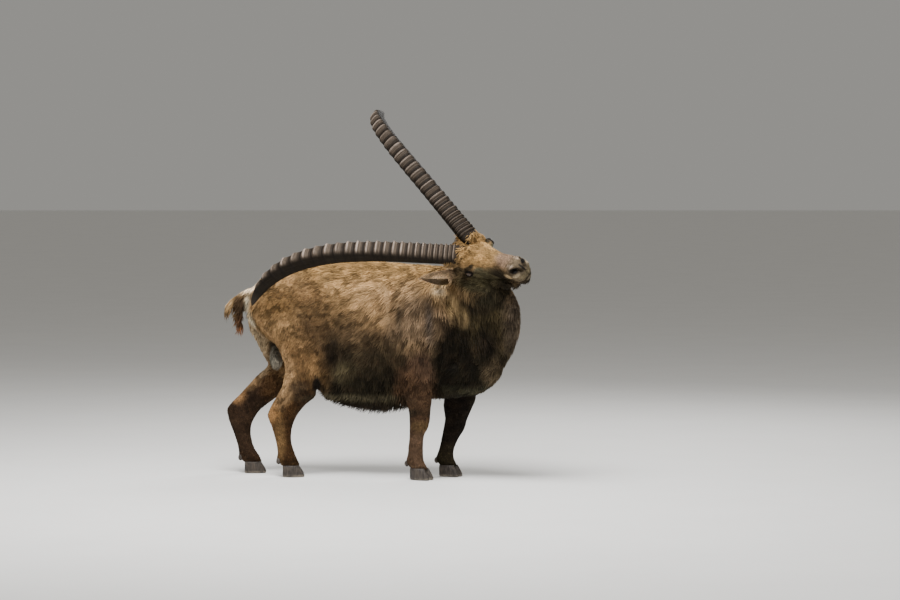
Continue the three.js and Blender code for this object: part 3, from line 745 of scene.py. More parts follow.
# %% [markdown]
# ## Ears
#
# An ear is a leaf rolled into a cup that opens outward. It is stretched as one closed sheet:
# rows of points run over its outer face and come back over its inner face.

# %% Ears
EAR_ROOT = np.array([-103, 75, -35])
EAR_ALONG = np.array([-0.794, 0.501, 0.341])
EAR_OPEN = np.array([0.343, 0.860, -0.387])
EAR_LENGTH, EAR_WIDTH = 158, 86
EAR_CURL = math.radians(104)
EAR_SUNK = 0.06
EAR_WALL, EAR_WALL_ROOT = 1.4, 4.0


def ear_frame():
    """Directions of one ear: along it, out of its cup and across it."""
    along = EAR_ALONG / np.linalg.norm(EAR_ALONG)
    mouth = EAR_OPEN - along * (EAR_OPEN @ along)
    mouth /= np.linalg.norm(mouth)
    return along, mouth, np.cross(along, mouth)


def ear_leaf(t):
    """Half width of the ear at a share t of its length."""
    return EAR_WIDTH / 2 * (0.46 + 1.25 * t) * max(0.03, 1 - t**2.1) * 1.15


def ear_point(t, u, inward=0.0):
    """A point of the cup, t along it and u from edge to edge, in the head's frame."""
    along, mouth, across = ear_frame()
    leaf = ear_leaf(t)
    deep = leaf * (1.1 - 0.55 * t)
    turn = u * EAR_CURL
    bend = 10 * math.sin(math.pi * t) - 10 * t * t
    edge = leaf * math.sin(turn) * (1 - inward / max(leaf, 6))
    depth = deep * (math.cos(turn) - 0.35) * (1 - inward / max(deep, 6))
    middle_line = EAR_ROOT + along * EAR_LENGTH * (t - EAR_SUNK)
    return middle_line + across * edge - mouth * (depth - bend * 0.3)


def ear_body(side, rows=44, columns=18):
    flip = np.array([1, side, 1])
    steps = np.linspace(0, 1, rows) ** 0.9
    outer = np.linspace(-1, 1, columns)
    rings = []
    for t in steps:
        wall = EAR_WALL + (EAR_WALL_ROOT - EAR_WALL) * (1 - t)
        loop = [ear_point(t, u) for u in outer]
        loop += [ear_point(t, u * 0.97, wall) for u in outer[::-1]]
        rings.append(np.array(loop) * flip)
    points, faces = stretch(rings)
    if side < 0:
        faces = [f[::-1] for f in faces]
    return head_to_world(points * MM), faces


ears = [ear_body(side) for side in (-1, 1)]
ear_tip = ear_point(1, 0) * [1, -1, 1]
print("tip of the right ear:", np.round(head_to_world(ear_tip * MM), 3))

# %% [markdown]
# ## One closed skin
#
# The forms overlap, so Boolean unions fuse them into one surface with nothing left inside. The
# manifold solver is the fast and exact way for closed bodies. A short smoothing would blur the
# lids, so none follows.

# %% Fuse the skin


def fuse(base, part):
    """Union of two closed objects, kept in the first one."""
    bake_modifier(base, "BOOLEAN", operation="UNION", object=part, solver="MANIFOLD")
    bpy.data.objects.remove(part)


def mend_winding(thing):
    """Faces of a closed body all turned outward."""
    shape = bmesh.new()
    shape.from_mesh(thing.data)
    bmesh.ops.recalc_face_normals(shape, faces=shape.faces)
    shape.to_mesh(thing.data)
    shape.free()


fuse(skin, head)
for title, body in [("ear_form", b) for b in ears] + [("lid_form", b) for b in lids]:
    part = mesh_object(title, [body])
    mend_winding(part)
    fuse(skin, part)


SKIN_EASE, HORN_EASE, HAIR_EASE = 6 * MM, 1.5 * MM, 10 * MM


def kept_in_box(points, soft):
    """Points that come near the box of the solids are eased back inside it."""
    low, high = (np.array(corner) for corner in CAD_BOX)
    over = np.maximum(points - (high - soft), 0)
    under = np.maximum((low + soft) - points, 0)
    eased = points - over + soft * (1 - np.exp(-over / soft))
    return eased + under - soft * (1 - np.exp(-under / soft))


move_to(skin, kept_in_box(places(skin), SKIN_EASE))
smooth_faces(skin)
print("skin faces:", len(skin.data.polygons), "points:", len(skin.data.vertices))

# %% [markdown]
# ## Eyes
#
# A goat-like eye has a dark amber iris with a level slot for a pupil, under a clear bulging
# cornea. Each eyeball is its own object with its own axes: its z axis looks out, so the iris
# can be painted by distance from that axis.

# %% Eyeballs
CORNEA_RISE, CORNEA_EDGE = 1.5, math.radians(40)
BALL_SLACK = 0.6


def eyeball(name, side, rows=44, around=64):
    polar = np.linspace(0.015, math.pi - 0.015, rows)
    bulge = CORNEA_RISE * np.clip(1 - (polar / CORNEA_EDGE) ** 2, 0, 1) ** 0.8
    radius = (BALL - BALL_SLACK + bulge) * MM
    rings = sphere_rings(polar, full_turn(around)) * radius[:, None, None]
    made = mesh_object(name, [stretch(rings[::-1])])
    ahead, up, gaze = eye_axes(side) @ HEAD_TURN.T
    x_axis = np.cross(up, gaze)
    spot = head_to_world(eye_place(side) * MM)
    made.matrix_world = Matrix(
        [[x_axis[i], up[i], gaze[i], spot[i]] for i in range(3)] + [[0, 0, 0, 1]]
    )
    smooth_faces(made)
    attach(made, "root")
    return made


eyes = {}
for title, side in (("eye_r", -1), ("eye_l", 1)):
    eyes[title] = eyeball("eyeball_" + title[-1], side)
    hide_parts(title)
print("eyeballs:", list(eyes))

# %% [markdown]
# ## Horns
#
# Each horn is swept along its own curve. The line starts in the skull, rises and turns back in
# one great arc. Across its front face run the knobs that ibex are known for, about two for each
# year of life, closer at the root. They wrap the edges and fade on the back. Fine growth rings
# lie between them. The same numbers also give masks for the material.

# %% Line of the horns
HORN_LENGTH, HORN_DEPTH, HORN_WIDTH = 959, 76, 68
HORN_ROOT, HORN_SUNK = np.array([-45, 45, 55]), 36
HORN_SPLAY, HORN_RISE, HORN_LEAN = (math.radians(a) for a in (24.9, 31.2, 3.2))
HORN_TURN, HORN_QUICKEN = math.radians(70.3), 3.48
HORN_TWIST = -0.77


def spin(vector, axis, angle):
    return np.array(Matrix.Rotation(angle, 3, Vector(axis)) @ Vector(vector))


def horn_line(side, steps):
    """Places and axes along one horn, from its root to its tip, in the head's frame."""
    heading = np.array([
        -math.cos(HORN_RISE) * math.cos(HORN_SPLAY),
        side * math.sin(HORN_SPLAY),
        math.sin(HORN_RISE) * math.cos(HORN_SPLAY),
    ])
    heading /= np.linalg.norm(heading)
    inward = np.array([-math.sin(HORN_RISE), 0, -math.cos(HORN_RISE)])
    inward -= heading * (inward @ heading)
    inward = spin(inward / np.linalg.norm(inward), heading, side * HORN_LEAN)
    place = HORN_ROOT * [1.0, side, 1.0]
    step = HORN_LENGTH / steps
    line = [(place, heading, inward)]
    for i in range(steps):
        s = (i + 0.5) / steps
        bend = (HORN_TURN + HORN_QUICKEN * (s - 0.5)) / HORN_LENGTH * step
        before = heading
        heading = heading + inward * bend
        inward = inward - before * bend
        inward = inward + np.cross(heading, inward) * (side * HORN_TWIST / HORN_LENGTH * step)
        heading /= np.linalg.norm(heading)
        inward -= heading * (inward @ heading)
        inward /= np.linalg.norm(inward)
        place = place + (before + heading) * step / 2
        line.append((place, heading, inward))
    return line


print("tip of the right horn:", np.round(head_to_world(horn_line(-1, 400)[-1][0] * MM), 3))

# %% Horns
HORN_SQUARE, HORN_TAPER = 2.8, 0.12
KNOBS, KNOB_HEIGHT, KNOB_WRAP = 25, 8.5, 0.55
KNOB_START, KNOB_STEP, KNOB_GROWTH = 0.012, 0.0162, 0.00087
KNOB_SLOPE, KNOB_STEEP = 0.28, 0.15
KNOB_FOOT, KNOB_FOOT_BREADTH = 0.27, 0.11
GROWTH_RINGS = [
    # height in mm, angle per mm of horn, start
    (0.25, 1.9, 0.0), (0.35, 0.83, 1.3),
]
HORN_SEED = 11
# Painted shade: the far horn's colour is scaled darker as a whole.
HORN_SHADE_BY_SIDE = {"horn_r": 1.0, "horn_l": 0.55}


def knob_height(s, rng):
    """Height of the knobs along the horn, as a share, and a mask of the foot of their steep side."""
    height, foot = np.zeros_like(s), np.zeros_like(s)
    for n in range(KNOBS):
        spacing = KNOB_STEP + 2 * KNOB_GROWTH * n
        away = (s - (KNOB_START + KNOB_STEP * n + KNOB_GROWTH * n * n)) / spacing
        foot = np.maximum(foot, bell(away - KNOB_FOOT, KNOB_FOOT_BREADTH))
        away = np.where(away < 0, -away / KNOB_SLOPE, away / KNOB_STEEP)
        strength = rng.uniform(0.85, 1.15)
        height = np.maximum(height, strength * np.exp(-away**1.7))
    return height, foot


def horn(name, side, horn_shade, rows=760, around=56):
    s = np.linspace(0, 1, rows)
    knob, foot = knob_height(s, np.random.default_rng(HORN_SEED + side))
    rings = sum(rise * np.sin(s * HORN_LENGTH * pace + start) for rise, pace, start in GROWTH_RINGS)
    rings *= 1 + 2.2 * np.exp(-s / 0.08)
    angle = full_turn(around)
    front, flank = wave(np.cos(angle), HORN_SQUARE), wave(np.sin(angle), HORN_SQUARE)
    onto_front = np.clip(0.34 + 0.66 * np.cos(angle), 0, 1)
    points = []
    for i, (place, heading, inward) in enumerate(horn_line(side, rows - 1)):
        taper = max((1 - s[i] ** 5) ** 0.6, 0.06)
        if i == 0:
            place, taper = place - heading * HORN_SUNK, 0.85
        depth = HORN_DEPTH / 2 * taper
        width = HORN_WIDTH / 2 * taper * (1 - HORN_TAPER * s[i])
        swell = KNOB_HEIGHT * knob[i] * (1 - 0.4 * s[i]) * onto_front
        swell = (swell + rings[i] * (0.4 + 0.6 * onto_front)) * min(1, taper * 1.4)
        across = np.cross(heading, inward)
        sideways = width * flank * (1 + 0.16 * front) + KNOB_WRAP * swell * flank
        points.append(place - np.outer(depth * front + swell, inward) + np.outer(sideways, across))
    body, faces = stretch(points)
    made = mesh_object(name, [(kept_in_box(head_to_world(body * MM), HORN_EASE), faces)])
    mend_winding(made)
    store(made.data, "crest", np.outer(knob, np.sqrt(onto_front)).ravel())
    store(made.data, "foot", np.outer(foot, np.sqrt(onto_front)).ravel())
    store(made.data, "horn_shade", np.full(rows * around, horn_shade))
    store(made.data, "reach", np.repeat(s, around))
    store(made.data, "front", np.tile(np.cos(angle), rows))
    store(made.data, "grain", np.tile(np.abs(angle / math.pi - 1), rows))
    smooth_faces(made)
    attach(made, "root")
    return made


horns = {}
for title, side in (("horn_r", -1), ("horn_l", 1)):
    horns[title] = horn("ridged_" + title, side, HORN_SHADE_BY_SIDE[title])
    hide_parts(title)
print("horn faces:", len(horns["horn_r"].data.polygons), "each")

# %% [markdown]
# ## Hooves
#
# Ibex stand on two claws a foot, with two small dewclaws behind. Each claw is a rounded wedge:
# long and level at the ground, shorter and narrower at the top, where the hair begins.

# %% Hooves
CORONET = 47
CLAW = [
    # height, ahead, half length, half width
    (1.2, 9.5, 41, 13),
    (4, 10, 43, 14.6),
    (12, 9, 43, 15.2),
    (26, 5.5, 39, 15.4),
    (38, 1.5, 35, 15.2),
    (CORONET, -1, 32, 14.0),
]
CLAW_GAP, CLAW_SQUARE, CLAW_POINT = 1.5, 2.4, 0.30
DEWCLAW_REACH, DEWCLAW_BACK, DEWCLAW_OUT, DEWCLAW_DROP = (9.5, 8, 12.5), 0.82, 14, 8


def claw_body(foot, yaw, side):
    """One claw beside the middle of the foot."""
    t = full_turn(40)
    rings = []
    for z, ahead, fore, half_width in flow_through(CLAW, 22):
        toe = np.cos(t)
        narrow = 1 - CLAW_POINT * np.clip(toe, 0, 1) ** 2
        onward = ahead + fore * wave(toe, CLAW_SQUARE)
        outward = side * (half_width + CLAW_GAP) + half_width * wave(np.sin(t), CLAW_SQUARE) * narrow
        inner = side * CLAW_GAP
        outward = np.where(side * outward < side * inner, inner, outward)
        rings.append(set_on_heading(*foot, yaw, onward, outward, z))
    return in_scene(stretch(rings))


def dewclaw_body(pastern, yaw, side):
    z, x, y, fore, _ = pastern
    middle = set_on_heading(x, y, yaw, -DEWCLAW_BACK * fore, DEWCLAW_OUT * side, z - DEWCLAW_DROP)
    return in_scene(ball(middle, DEWCLAW_REACH))


hooves = []
for leg, (yaw, rows) in LEGS.items():
    end, tag = leg.split("_")
    outer_side = -1 if tag == "r" else 1
    foot, pastern = rows[-1][1:3], rows[-2]
    for title, side in (("outer", outer_side), ("inner", -outer_side)):
        bodies = [claw_body(foot, yaw, side), dewclaw_body(pastern, yaw, side)]
        claw = mesh_object(f"claw_{end}_{tag}_{title}", bodies)
        mend_winding(claw)
        smooth_faces(claw)
        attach(claw, "root")
        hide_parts(f"hoof_{end}_{tag}_{title}")
        hooves.append(claw)
print("claws:", len(hooves))

# %% [markdown]
# ## Unwrap of the skin
#
# A map named OFBake lets colours be painted into an image. The skin gets one from its own
# shape, cut where it bends most. Each tuft of the coat later takes a tiny patch of this same map
# at its root.

# %% Unwrap the skin
BAKE_MAP = "OFBake"

UNWRAP_ANGLE, ISLAND_MARGIN = math.radians(66), 0.002


def unwrap(thing):
    thing.data.uv_layers.new(name=BAKE_MAP)
    bpy.ops.object.select_all(action="DESELECT")
    bpy.context.view_layer.objects.active = thing
    thing.select_set(True)
    bpy.ops.object.mode_set(mode="EDIT")
    bpy.ops.mesh.select_all(action="SELECT")
    bpy.ops.uv.smart_project(angle_limit=UNWRAP_ANGLE, island_margin=ISLAND_MARGIN)
    bpy.ops.object.mode_set(mode="OBJECT")


unwrap(skin)
print("unwrapped:", skin.data.uv_layers.keys())

# %% [markdown]
# ## The lie of the coat
#
# Hair on a real animal runs like water: back along the spine, down and back over the ribs,
# straight down the legs and the front of the neck, and from the nose up over the face. A short
# list of places holds the direction and the size of the hair there, and every tuft takes a
# soft average of its neighbours in the list. The same list serves both sides of the body.

# %% Lie of the coat
COAT = [
    # x, z, backward, downward, length, width, lift, hang
    (-500, 790, 1.0, 0.30, 30, 4.4, 0.20, 0.0),
    (-545, 755, 1.0, 0.45, 55, 4.4, 0.42, 0.10),
    (-560, 690, 0.35, 1.0, 72, 4.4, 0.35, 0.75),
    (-605, 690, 0.25, 1.0, 52, 4.2, 0.30, 0.40),
    (-556, 620, 0.1, 1.0, 58, 4.2, 0.22, 0.90),
    (-500, 670, 0.3, 1.0, 20, 3.6, 0.18, 0.1),
    (-440, 840, 1.0, 0.25, 26, 4.0, 0.17, 0.0),
    (-440, 600, 0.45, 1.0, 20, 3.6, 0.20, 0.1),
    (-360, 700, 0.55, 0.85, 19, 3.6, 0.19, 0.0),
    (-330, 840, 1.0, 0.25, 26, 4.2, 0.16, 0.0),
    (-340, 580, 0.35, 1.0, 18, 3.5, 0.19, 0.0),
    (-240, 500, 0.25, 1.0, 20, 3.6, 0.18, 0.05),
    (-230, 720, 0.9, 0.55, 25, 3.9, 0.16, 0.0),
    (-180, 850, 1.0, 0.20, 36, 4.4, 0.16, 0.0),
    (-120, 620, 0.75, 0.80, 34, 4.2, 0.15, 0.0),
    (-150, 430, 0.60, 0.9, 34, 4.3, 0.17, 0.05),
    (-150, 345, 0.5, 0.9, 38, 4.4, 0.24, 0.55),
    (-60, 320, 0.5, 0.9, 46, 4.5, 0.28, 0.80),
    (-20, 850, 1.0, 0.15, 38, 4.4, 0.15, 0.0),
    (0, 640, 0.80, 0.70, 36, 4.3, 0.14, 0.0),
    (0, 460, 0.55, 0.95, 36, 4.3, 0.15, 0.05),
    (70, 310, 0.4, 1.0, 48, 4.6, 0.30, 0.80),
    (120, 850, 1.0, 0.20, 38, 4.4, 0.15, 0.0),
    (60, 660, 0.35, 1.0, 48, 4.4, 0.16, 0.05),
    (130, 620, 0.60, 0.95, 44, 4.6, 0.18, 0.05),
    (150, 500, 0.35, 1.0, 38, 4.4, 0.20, 0.05),
    (210, 830, 0.85, 0.55, 32, 4.4, 0.13, 0.0),
    (220, 660, 0.50, 1.0, 56, 4.4, 0.20, 0.1),
    (260, 400, 0.3, 1.0, 36, 4.6, 0.22, 0.15),
    (290, 740, -0.75, 1.0, 64, 4.2, 0.24, 0.1),
    (360, 640, -0.45, 1.0, 56, 4.4, 0.22, 0.1),
    (380, 420, 0.6, 0.7, 36, 4.8, 0.18, 0.10),
    (430, 820, 0.05, 1.0, 30, 4.4, 0.18, 0.05),
    (480, 680, 0.0, 1.0, 40, 4.6, 0.30, 0.1),
    (520, 600, 0.15, 1.0, 36, 4.4, 0.32, 0.05),
    (490, 430, 0.30, 1.0, 34, 4.4, 0.22, 0.05),
]
LEG_COAT = [
    # height, length, width, lift
    (620, 20, 3.8, 0.18), (480, 18, 3.4, 0.18), (360, 15, 3.0, 0.17), (260, 12, 2.6, 0.16),
    (200, 10, 2.3, 0.15), (120, 9, 2.2, 0.15), (75, 12, 2.4, 0.26), (48, 10, 2.1, 0.20),
]
COAT_REACH = 95
LEG_TOP, LEG_BLEND = 430, 90
LEG_NEAR, LEG_FAR = 1.08, 1.40
DOWN = np.array([0, 0, -1.0])


def smoothstep(values, low_edge, high_edge):
    """0 up to one edge, 1 from the other, and a soft step between them."""
    t = np.clip((values - low_edge) / (high_edge - low_edge), 0, 1)
    return t * t * (3 - 2 * t)


def soft_average(at, middles, rows, reach):
    """Average of the rows, each counted more the nearer its middle is to the place."""
    gap = ((at[:, None] - middles[None]) ** 2).sum(-1)
    weight = np.exp(-gap / reach**2) + 1e-12
    return weight / weight.sum(1, keepdims=True) @ rows


def spine_heading(x):
    """Direction towards the tail along the bent spine, for places at x."""
    rows = flow_through(TRUNK, 120)
    slope = np.interp(x, rows[:, 0], np.gradient(rows[:, 1]) / np.gradient(rows[:, 0]))
    return unit(np.stack([-np.ones_like(x), -slope, np.zeros_like(x)], -1))


def beside_leg(at):
    """1 on the surface of any leg, fading to 0 about a third of its thickness away."""
    nearest = np.full(len(at), 9.0)
    for yaw, rows in LEGS.values():
        table = np.array(rows, float)[::-1]
        x, y, fore, side = (np.interp(at[:, 2], table[:, 0], table[:, k]) for k in (1, 2, 3, 4))
        away_x, away_y = at[:, 0] - x, at[:, 1] - y
        ahead = away_x * math.cos(yaw) + away_y * math.sin(yaw)
        left = away_y * math.cos(yaw) - away_x * math.sin(yaw)
        nearest = np.minimum(nearest, np.hypot(ahead / fore, left / side))
    return 1 - smoothstep(nearest, LEG_NEAR, LEG_FAR)


def body_coat(at):
    """Direction, length, width, lift and hang of the hair at places of the body, in mm."""
    table = np.array(COAT, float)
    mixed = soft_average(at[:, [0, 2]], table[:, :2], table[:, 2:], COAT_REACH)
    lie = spine_heading(at[:, 0]) * mixed[:, :1] + DOWN * mixed[:, 1:2]
    legs = np.array(LEG_COAT, float)[::-1]
    on_leg = beside_leg(at) * (1 - smoothstep(at[:, 2], LEG_TOP - LEG_BLEND, LEG_TOP))
    leg_sizes = np.stack([np.interp(at[:, 2], legs[:, 0], legs[:, k]) for k in (1, 2, 3)], -1)
    keep = on_leg[:, None]
    lie = lie * (1 - keep) + (DOWN + spine_heading(at[:, 0]) * 0.15) * keep
    sizes = mixed[:, 2:5] * (1 - keep) + leg_sizes * keep
    return unit(lie), sizes[:, 0], sizes[:, 1], sizes[:, 2], mixed[:, 5] * (1 - on_leg)


FACE_COAT = [
    # head frame: x, |y|, z, lie (x, outward, z), length, width, lift, curl, hang
    (222, 8, -55, -0.3, 0.3, 0.8, 3.5, 1.2, 0.10, 0, 0),
    (205, 20, -20, -1, 0.2, 0.1, 6, 1.6, 0.15, 0, 0),
    (195, 40, -70, -1, 0.1, -0.2, 6, 1.6, 0.15, 0, 0),
    (205, 16, -104, -1, 0.2, -0.3, 6, 1.6, 0.16, 0, 0),
    (150, 0, 10, -1, 0.25, 0.1, 9, 1.9, 0.16, 0, 0),
    (150, 45, -55, -1, 0.1, -0.3, 9, 1.9, 0.16, 0, 0),
    (186, 0, -120, -0.5, 0.1, -1, 24, 2.2, 0.30, 0, 0.55),
    (150, 0, -114, -0.8, 0.1, -0.6, 16, 2.5, 0.24, 0, 0.2),
    (95, 48, -40, -1, 0.1, -0.2, 10, 2.0, 0.16, 0, 0),
    (90, 10, 30, -1, 0.35, 0.2, 12, 2.1, 0.24, 0.3, 0),
    (45, 0, 48, -1, 0.4, 0.3, 18, 2.6, 0.42, 0.9, 0),
    (10, 15, 62, -1, 0.6, 0.3, 22, 2.8, 0.55, 1.0, 0),
    (-30, 45, 70, -1, 0.5, 0.7, 28, 3.0, 0.60, 1.0, 0),
    (-40, 0, 72, -1, 0.5, 0.2, 26, 3.2, 0.55, 1.0, 0),
    (-45, 85, 45, -1, 0.6, 0.6, 24, 2.9, 0.50, 0.8, 0),
    (-70, 30, 80, -1, 0.3, 0.8, 36, 3.0, 0.70, 0.8, 0),
    (-100, 0, 66, -1, 0.3, -0.1, 30, 3.6, 0.35, 0.6, 0),
    (0, 66, 30, -1, 0.2, 0.5, 12, 2.0, 0.30, 0.4, 0),
    (0, 84, -6, -1, 0.2, 0.0, 5, 1.4, 0.12, 0, 0),
    (20, 62, -25, -1, 0.2, -0.5, 8, 1.9, 0.16, 0, 0),
    (-40, 72, -30, -1, 0.2, -0.3, 13, 2.8, 0.18, 0, 0),
    (-40, 60, -90, -1, 0.1, -0.5, 22, 3.4, 0.24, 0, 0.15),
    (-100, 50, -80, -1, 0.2, -0.7, 28, 4.2, 0.22, 0, 0.1),
    (-130, 30, 0, -1, 0.3, -0.6, 32, 4.6, 0.24, 0, 0),
    (40, 30, -128, -1, 0.1, -0.8, 24, 2.9, 0.24, 0, 0.35),
    (95, 30, -128, -1, 0.1, -0.8, 19, 2.6, 0.22, 0, 0.3),
]
# length, width, lift, curl, hang
EAR_COAT = (11, 1.9, 0.14, 0, 0)
FACE_REACH = 42
HEAD_MIDDLE, HEAD_REACH = (45, 0, -30), (215, 118, 112)
HEAD_NEAR, HEAD_FAR = 0.92, 1.12


def side_of(head_at):
    """Factors that carry directions of the left half over to the half each place is on."""
    ones = np.ones(len(head_at))
    return np.stack([ones, np.sign(head_at[:, 1]), ones], -1)


def face_coat_at(at):
    """Direction, length, width, lift, curl and hang of the hair at places in the head's frame."""
    table = np.array(FACE_COAT, float)
    mixed = soft_average(on_left_half(at), table[:, :3], table[:, 3:], FACE_REACH)
    return unit(mixed[:, :3] * side_of(at)), *mixed[:, 3:].T


def on_ear(head_at):
    """1 on the free part of an ear, 0 elsewhere."""
    half = on_left_half(head_at)
    along = ear_frame()[0]
    t = (half - EAR_ROOT) @ along / EAR_LENGTH
    off_axis = np.linalg.norm(half - EAR_ROOT - np.outer(t * EAR_LENGTH, along), axis=1)
    return ((t > 0.10) & (t < 1.1) & (off_axis < EAR_WIDTH * 0.62)).astype(float)


def on_head(head_at):
    """1 on the head and 0 on the body, with a soft change at the throat and nape."""
    reach = np.linalg.norm((head_at - HEAD_MIDDLE) / HEAD_REACH, axis=1)
    return 1 - smoothstep(reach, HEAD_NEAR, HEAD_FAR)


print("places in the lists:", len(COAT), len(LEG_COAT), len(FACE_COAT))

# %% [markdown]
# ## Roots of the tufts
#
# The roots are strewn over the skin by area, closer together where the tufts are small. Places
# where no hair grows are left out: the nose, the lips, the lids, the inside of the nostrils and
# the feet below the coronet. An ear's cup gets only a few hairs.

# %% Hair at a place of the skin
BARE_EYE, BARE_EYE_FRONT = 17, 10
NOSE_PAD, NOSE_PAD_REACH = (221, 0, -42), (12, 6, 18)
BARE_NOSTRIL, BARE_LIPS = 8, 4
BACK_MIDDLE = (0, 88, 868)


def skin_triangles():
    """Corners and map places of the skin's faces, split into triangles."""
    mesh = skin.data
    mesh.calc_loop_triangles()
    count = len(mesh.loop_triangles)
    corners = np.empty(count * 3, np.int32)
    loops = np.empty(count * 3, np.int32)
    mesh.loop_triangles.foreach_get("vertices", corners)
    mesh.loop_triangles.foreach_get("loops", loops)
    uv = np.empty(len(mesh.loops) * 2, np.float32)
    mesh.uv_layers[BAKE_MAP].data.foreach_get("uv", uv)
    return corners.reshape(-1, 3), uv.reshape(-1, 2)[loops.reshape(-1, 3)]


def hair_at(points):
    """Lie in the scene, sizes and the share of head for places of the skin, in metres."""
    head_at = world_to_head(points) / MM
    lie, *sizes = body_coat((points - SHIFT) / MM)
    head_lie, head_length, head_width, head_lift, curl, head_hang = face_coat_at(head_at)
    ear = on_ear(head_at)
    head_lie = np.where(ear[:, None] > 0, ear_frame()[0] * side_of(head_at), head_lie)
    for values, ear_size in zip((head_length, head_width, head_lift, curl, head_hang), EAR_COAT):
        values[ear > 0] = ear_size
    share = np.maximum(on_head(head_at), ear)
    keep = share[:, None]
    lie = unit(lie * (1 - keep) + (head_lie @ HEAD_TURN.T) * keep)
    on_either = zip(sizes, (head_length, head_width, head_lift, head_hang))
    length, width, lift, hang = (body * (1 - share) + head * share for body, head in on_either)
    return lie, length, width, lift, hang, curl * share, share


def bare(points):
    """True where no tuft grows."""
    half = on_left_half(world_to_head(points) / MM)
    seen = seen_from_eye(half, 1)
    at_eye = (np.hypot(seen[:, 0], seen[:, 1]) < BARE_EYE) & (seen[:, 2] > BARE_EYE_FRONT)
    nose = np.linalg.norm((half - NOSE_PAD) / NOSE_PAD_REACH, axis=1) < 1
    nostril = distance_to_line(half, laid["nostril"]) < BARE_NOSTRIL
    lips = distance_to_line(half, laid["mouth"]) < BARE_LIPS
    foot = points[:, 2] < SHIFT[2] + CORONET * MM
    return at_eye | nose | nostril | lips | foot


print("hair on the middle of the back, mm:", round(float(hair_at(to_scene([BACK_MIDDLE]))[1][0])))

# %% Strew the roots
COVER_BODY, COVER_LEG, COVER_HEAD, COVER_TAIL, COVER_CUP = 4.0, 3.2, 3.8, 6.0, 0.5
COVER_LEG_TOP = LEG_TOP - 40
CUP_MIDDLE = 8
TAIL_START, TAIL_LOW, TAIL_MIDDLE, TAIL_HALF = -522, 575, 91, 40
draw = np.random.default_rng(7)


def inside_ear(points, facing):
    """1 on the inner face of an ear's cup: there the skin faces the middle of the cup."""
    head_at = world_to_head(points) / MM
    flip = side_of(head_at)
    half = head_at * flip
    along, mouth, _ = ear_frame()
    middle_line = EAR_ROOT + np.outer((half - EAR_ROOT) @ along, along) + mouth * CUP_MIDDLE
    return on_ear(head_at) * (((middle_line - half) * (facing @ HEAD_TURN) * flip).sum(1) > 0)


def on_tail(at):
    """True on the free part of the tail, for places in mm."""
    beside = np.abs(at[:, 1] - TAIL_MIDDLE) < TAIL_HALF
    return (at[:, 0] < TAIL_START) & (at[:, 2] > TAIL_LOW) & beside


skin_points, skin_normals = places(skin), normals(skin)
corners, corner_uv = skin_triangles()
edge_a = skin_points[corners[:, 1]] - skin_points[corners[:, 0]]
edge_b = skin_points[corners[:, 2]] - skin_points[corners[:, 0]]
face_normal = unit(np.cross(edge_a, edge_b))
area = np.linalg.norm(np.cross(edge_a, edge_b), axis=1) / 2 / MM**2
middle = skin_points[corners].mean(1)
middle_mm = (middle - SHIFT) / MM
_, length, width, _, _, _, share = hair_at(middle)
cover = np.where(middle_mm[:, 2] < COVER_LEG_TOP, COVER_LEG, COVER_BODY)
cover = cover * (1 - share) + COVER_HEAD * share
cover = np.where(on_tail(middle_mm), COVER_TAIL, cover)
cover = np.where(inside_ear(middle, face_normal) > 0, COVER_CUP, cover)
wanted = area * cover / (length * width) * ~bare(middle)
total = int(wanted.sum())
edges = np.cumsum(wanted)
picks = np.searchsorted(edges, (np.arange(total) + draw.random(total)) / total * edges[-1])
picks = np.clip(picks, 0, len(wanted) - 1)
u, v = draw.random((2, total))
over = u + v > 1
u[over], v[over] = 1 - u[over], 1 - v[over]
mix = np.stack([1 - u - v, u, v], -1)[:, :, None]
root = (skin_points[corners[picks]] * mix).sum(1)
up = unit((skin_normals[corners[picks]] * mix).sum(1))
root_uv = (corner_uv[picks] * mix).sum(1)
print("tufts:", total)

# %% [markdown]
# ## Tufts
#
# A tuft is a three-sided wisp of solid mesh: flat at the root, bent along the lie and drawn to
# a point. Neighbours lean towards a shared tip, which is what makes a wild coat look shaggy
# and streaked and not combed. All of it is worked out at once with arrays, which is much faster
# than a loop over a hundred thousand objects.

# %% Direction and tone of each tuft
TUFTS_PER_CLUMP = 9
SWIRL_WIDE, SWIRL_FINE, SWIRL_EACH, SWIRL_TAIL = 0.30, 0.16, 0.10, 0.40

lie, length, width, lift, hang, curl, share = hair_at(root)
length = length * draw.uniform(0.72, 1.25, total)
width = width * draw.uniform(0.8, 1.25, total)


def slow_noise(points, size, seed):
    """Smooth wavy noise over space, between about -1 and 1."""
    waves = np.random.default_rng(seed)
    out = np.zeros(len(points))
    for _ in range(6):
        direction = unit(waves.normal(size=3))
        pace, start = waves.uniform(0.7, 1.5), waves.uniform(0, 6.28)
        out += np.sin(points @ direction * (2 * math.pi / size) * pace + start)
    return out / 2.4


swirl = SWIRL_WIDE * slow_noise(root, 0.16, 3) + SWIRL_FINE * slow_noise(root, 0.05, 4)
swirl += draw.normal(0, SWIRL_EACH, total)
root_mm = (root - SHIFT) / MM
swirl += on_tail(root_mm) * draw.normal(0, SWIRL_TAIL, total)
lie = unit(lie + unit(np.cross(up, lie)) * swirl[:, None])
flat = unit(lie - up * (lie * up).sum(1, keepdims=True))
heading = unit(flat * (1 - hang[:, None]) + (DOWN * 0.85 + flat * 0.25) * hang[:, None])
clump_count = total // TUFTS_PER_CLUMP
chosen = draw.choice(total, clump_count, replace=False)
tree = KDTree(clump_count)
for i, k in enumerate(chosen):
    tree.insert(root[k], i)
tree.balance()
clump = chosen[np.array([tree.find(place)[1] for place in root])]
pull = draw.uniform(0.25, 0.75, total) * (0.55 + 0.45 * (1 - share))
clump_tone = draw.normal(0, 1, total)[clump]
tone = 0.7 * slow_noise(root[clump], 0.07, 5) + 0.4 * slow_noise(root[clump], 0.03, 6) + 0.55 * clump_tone
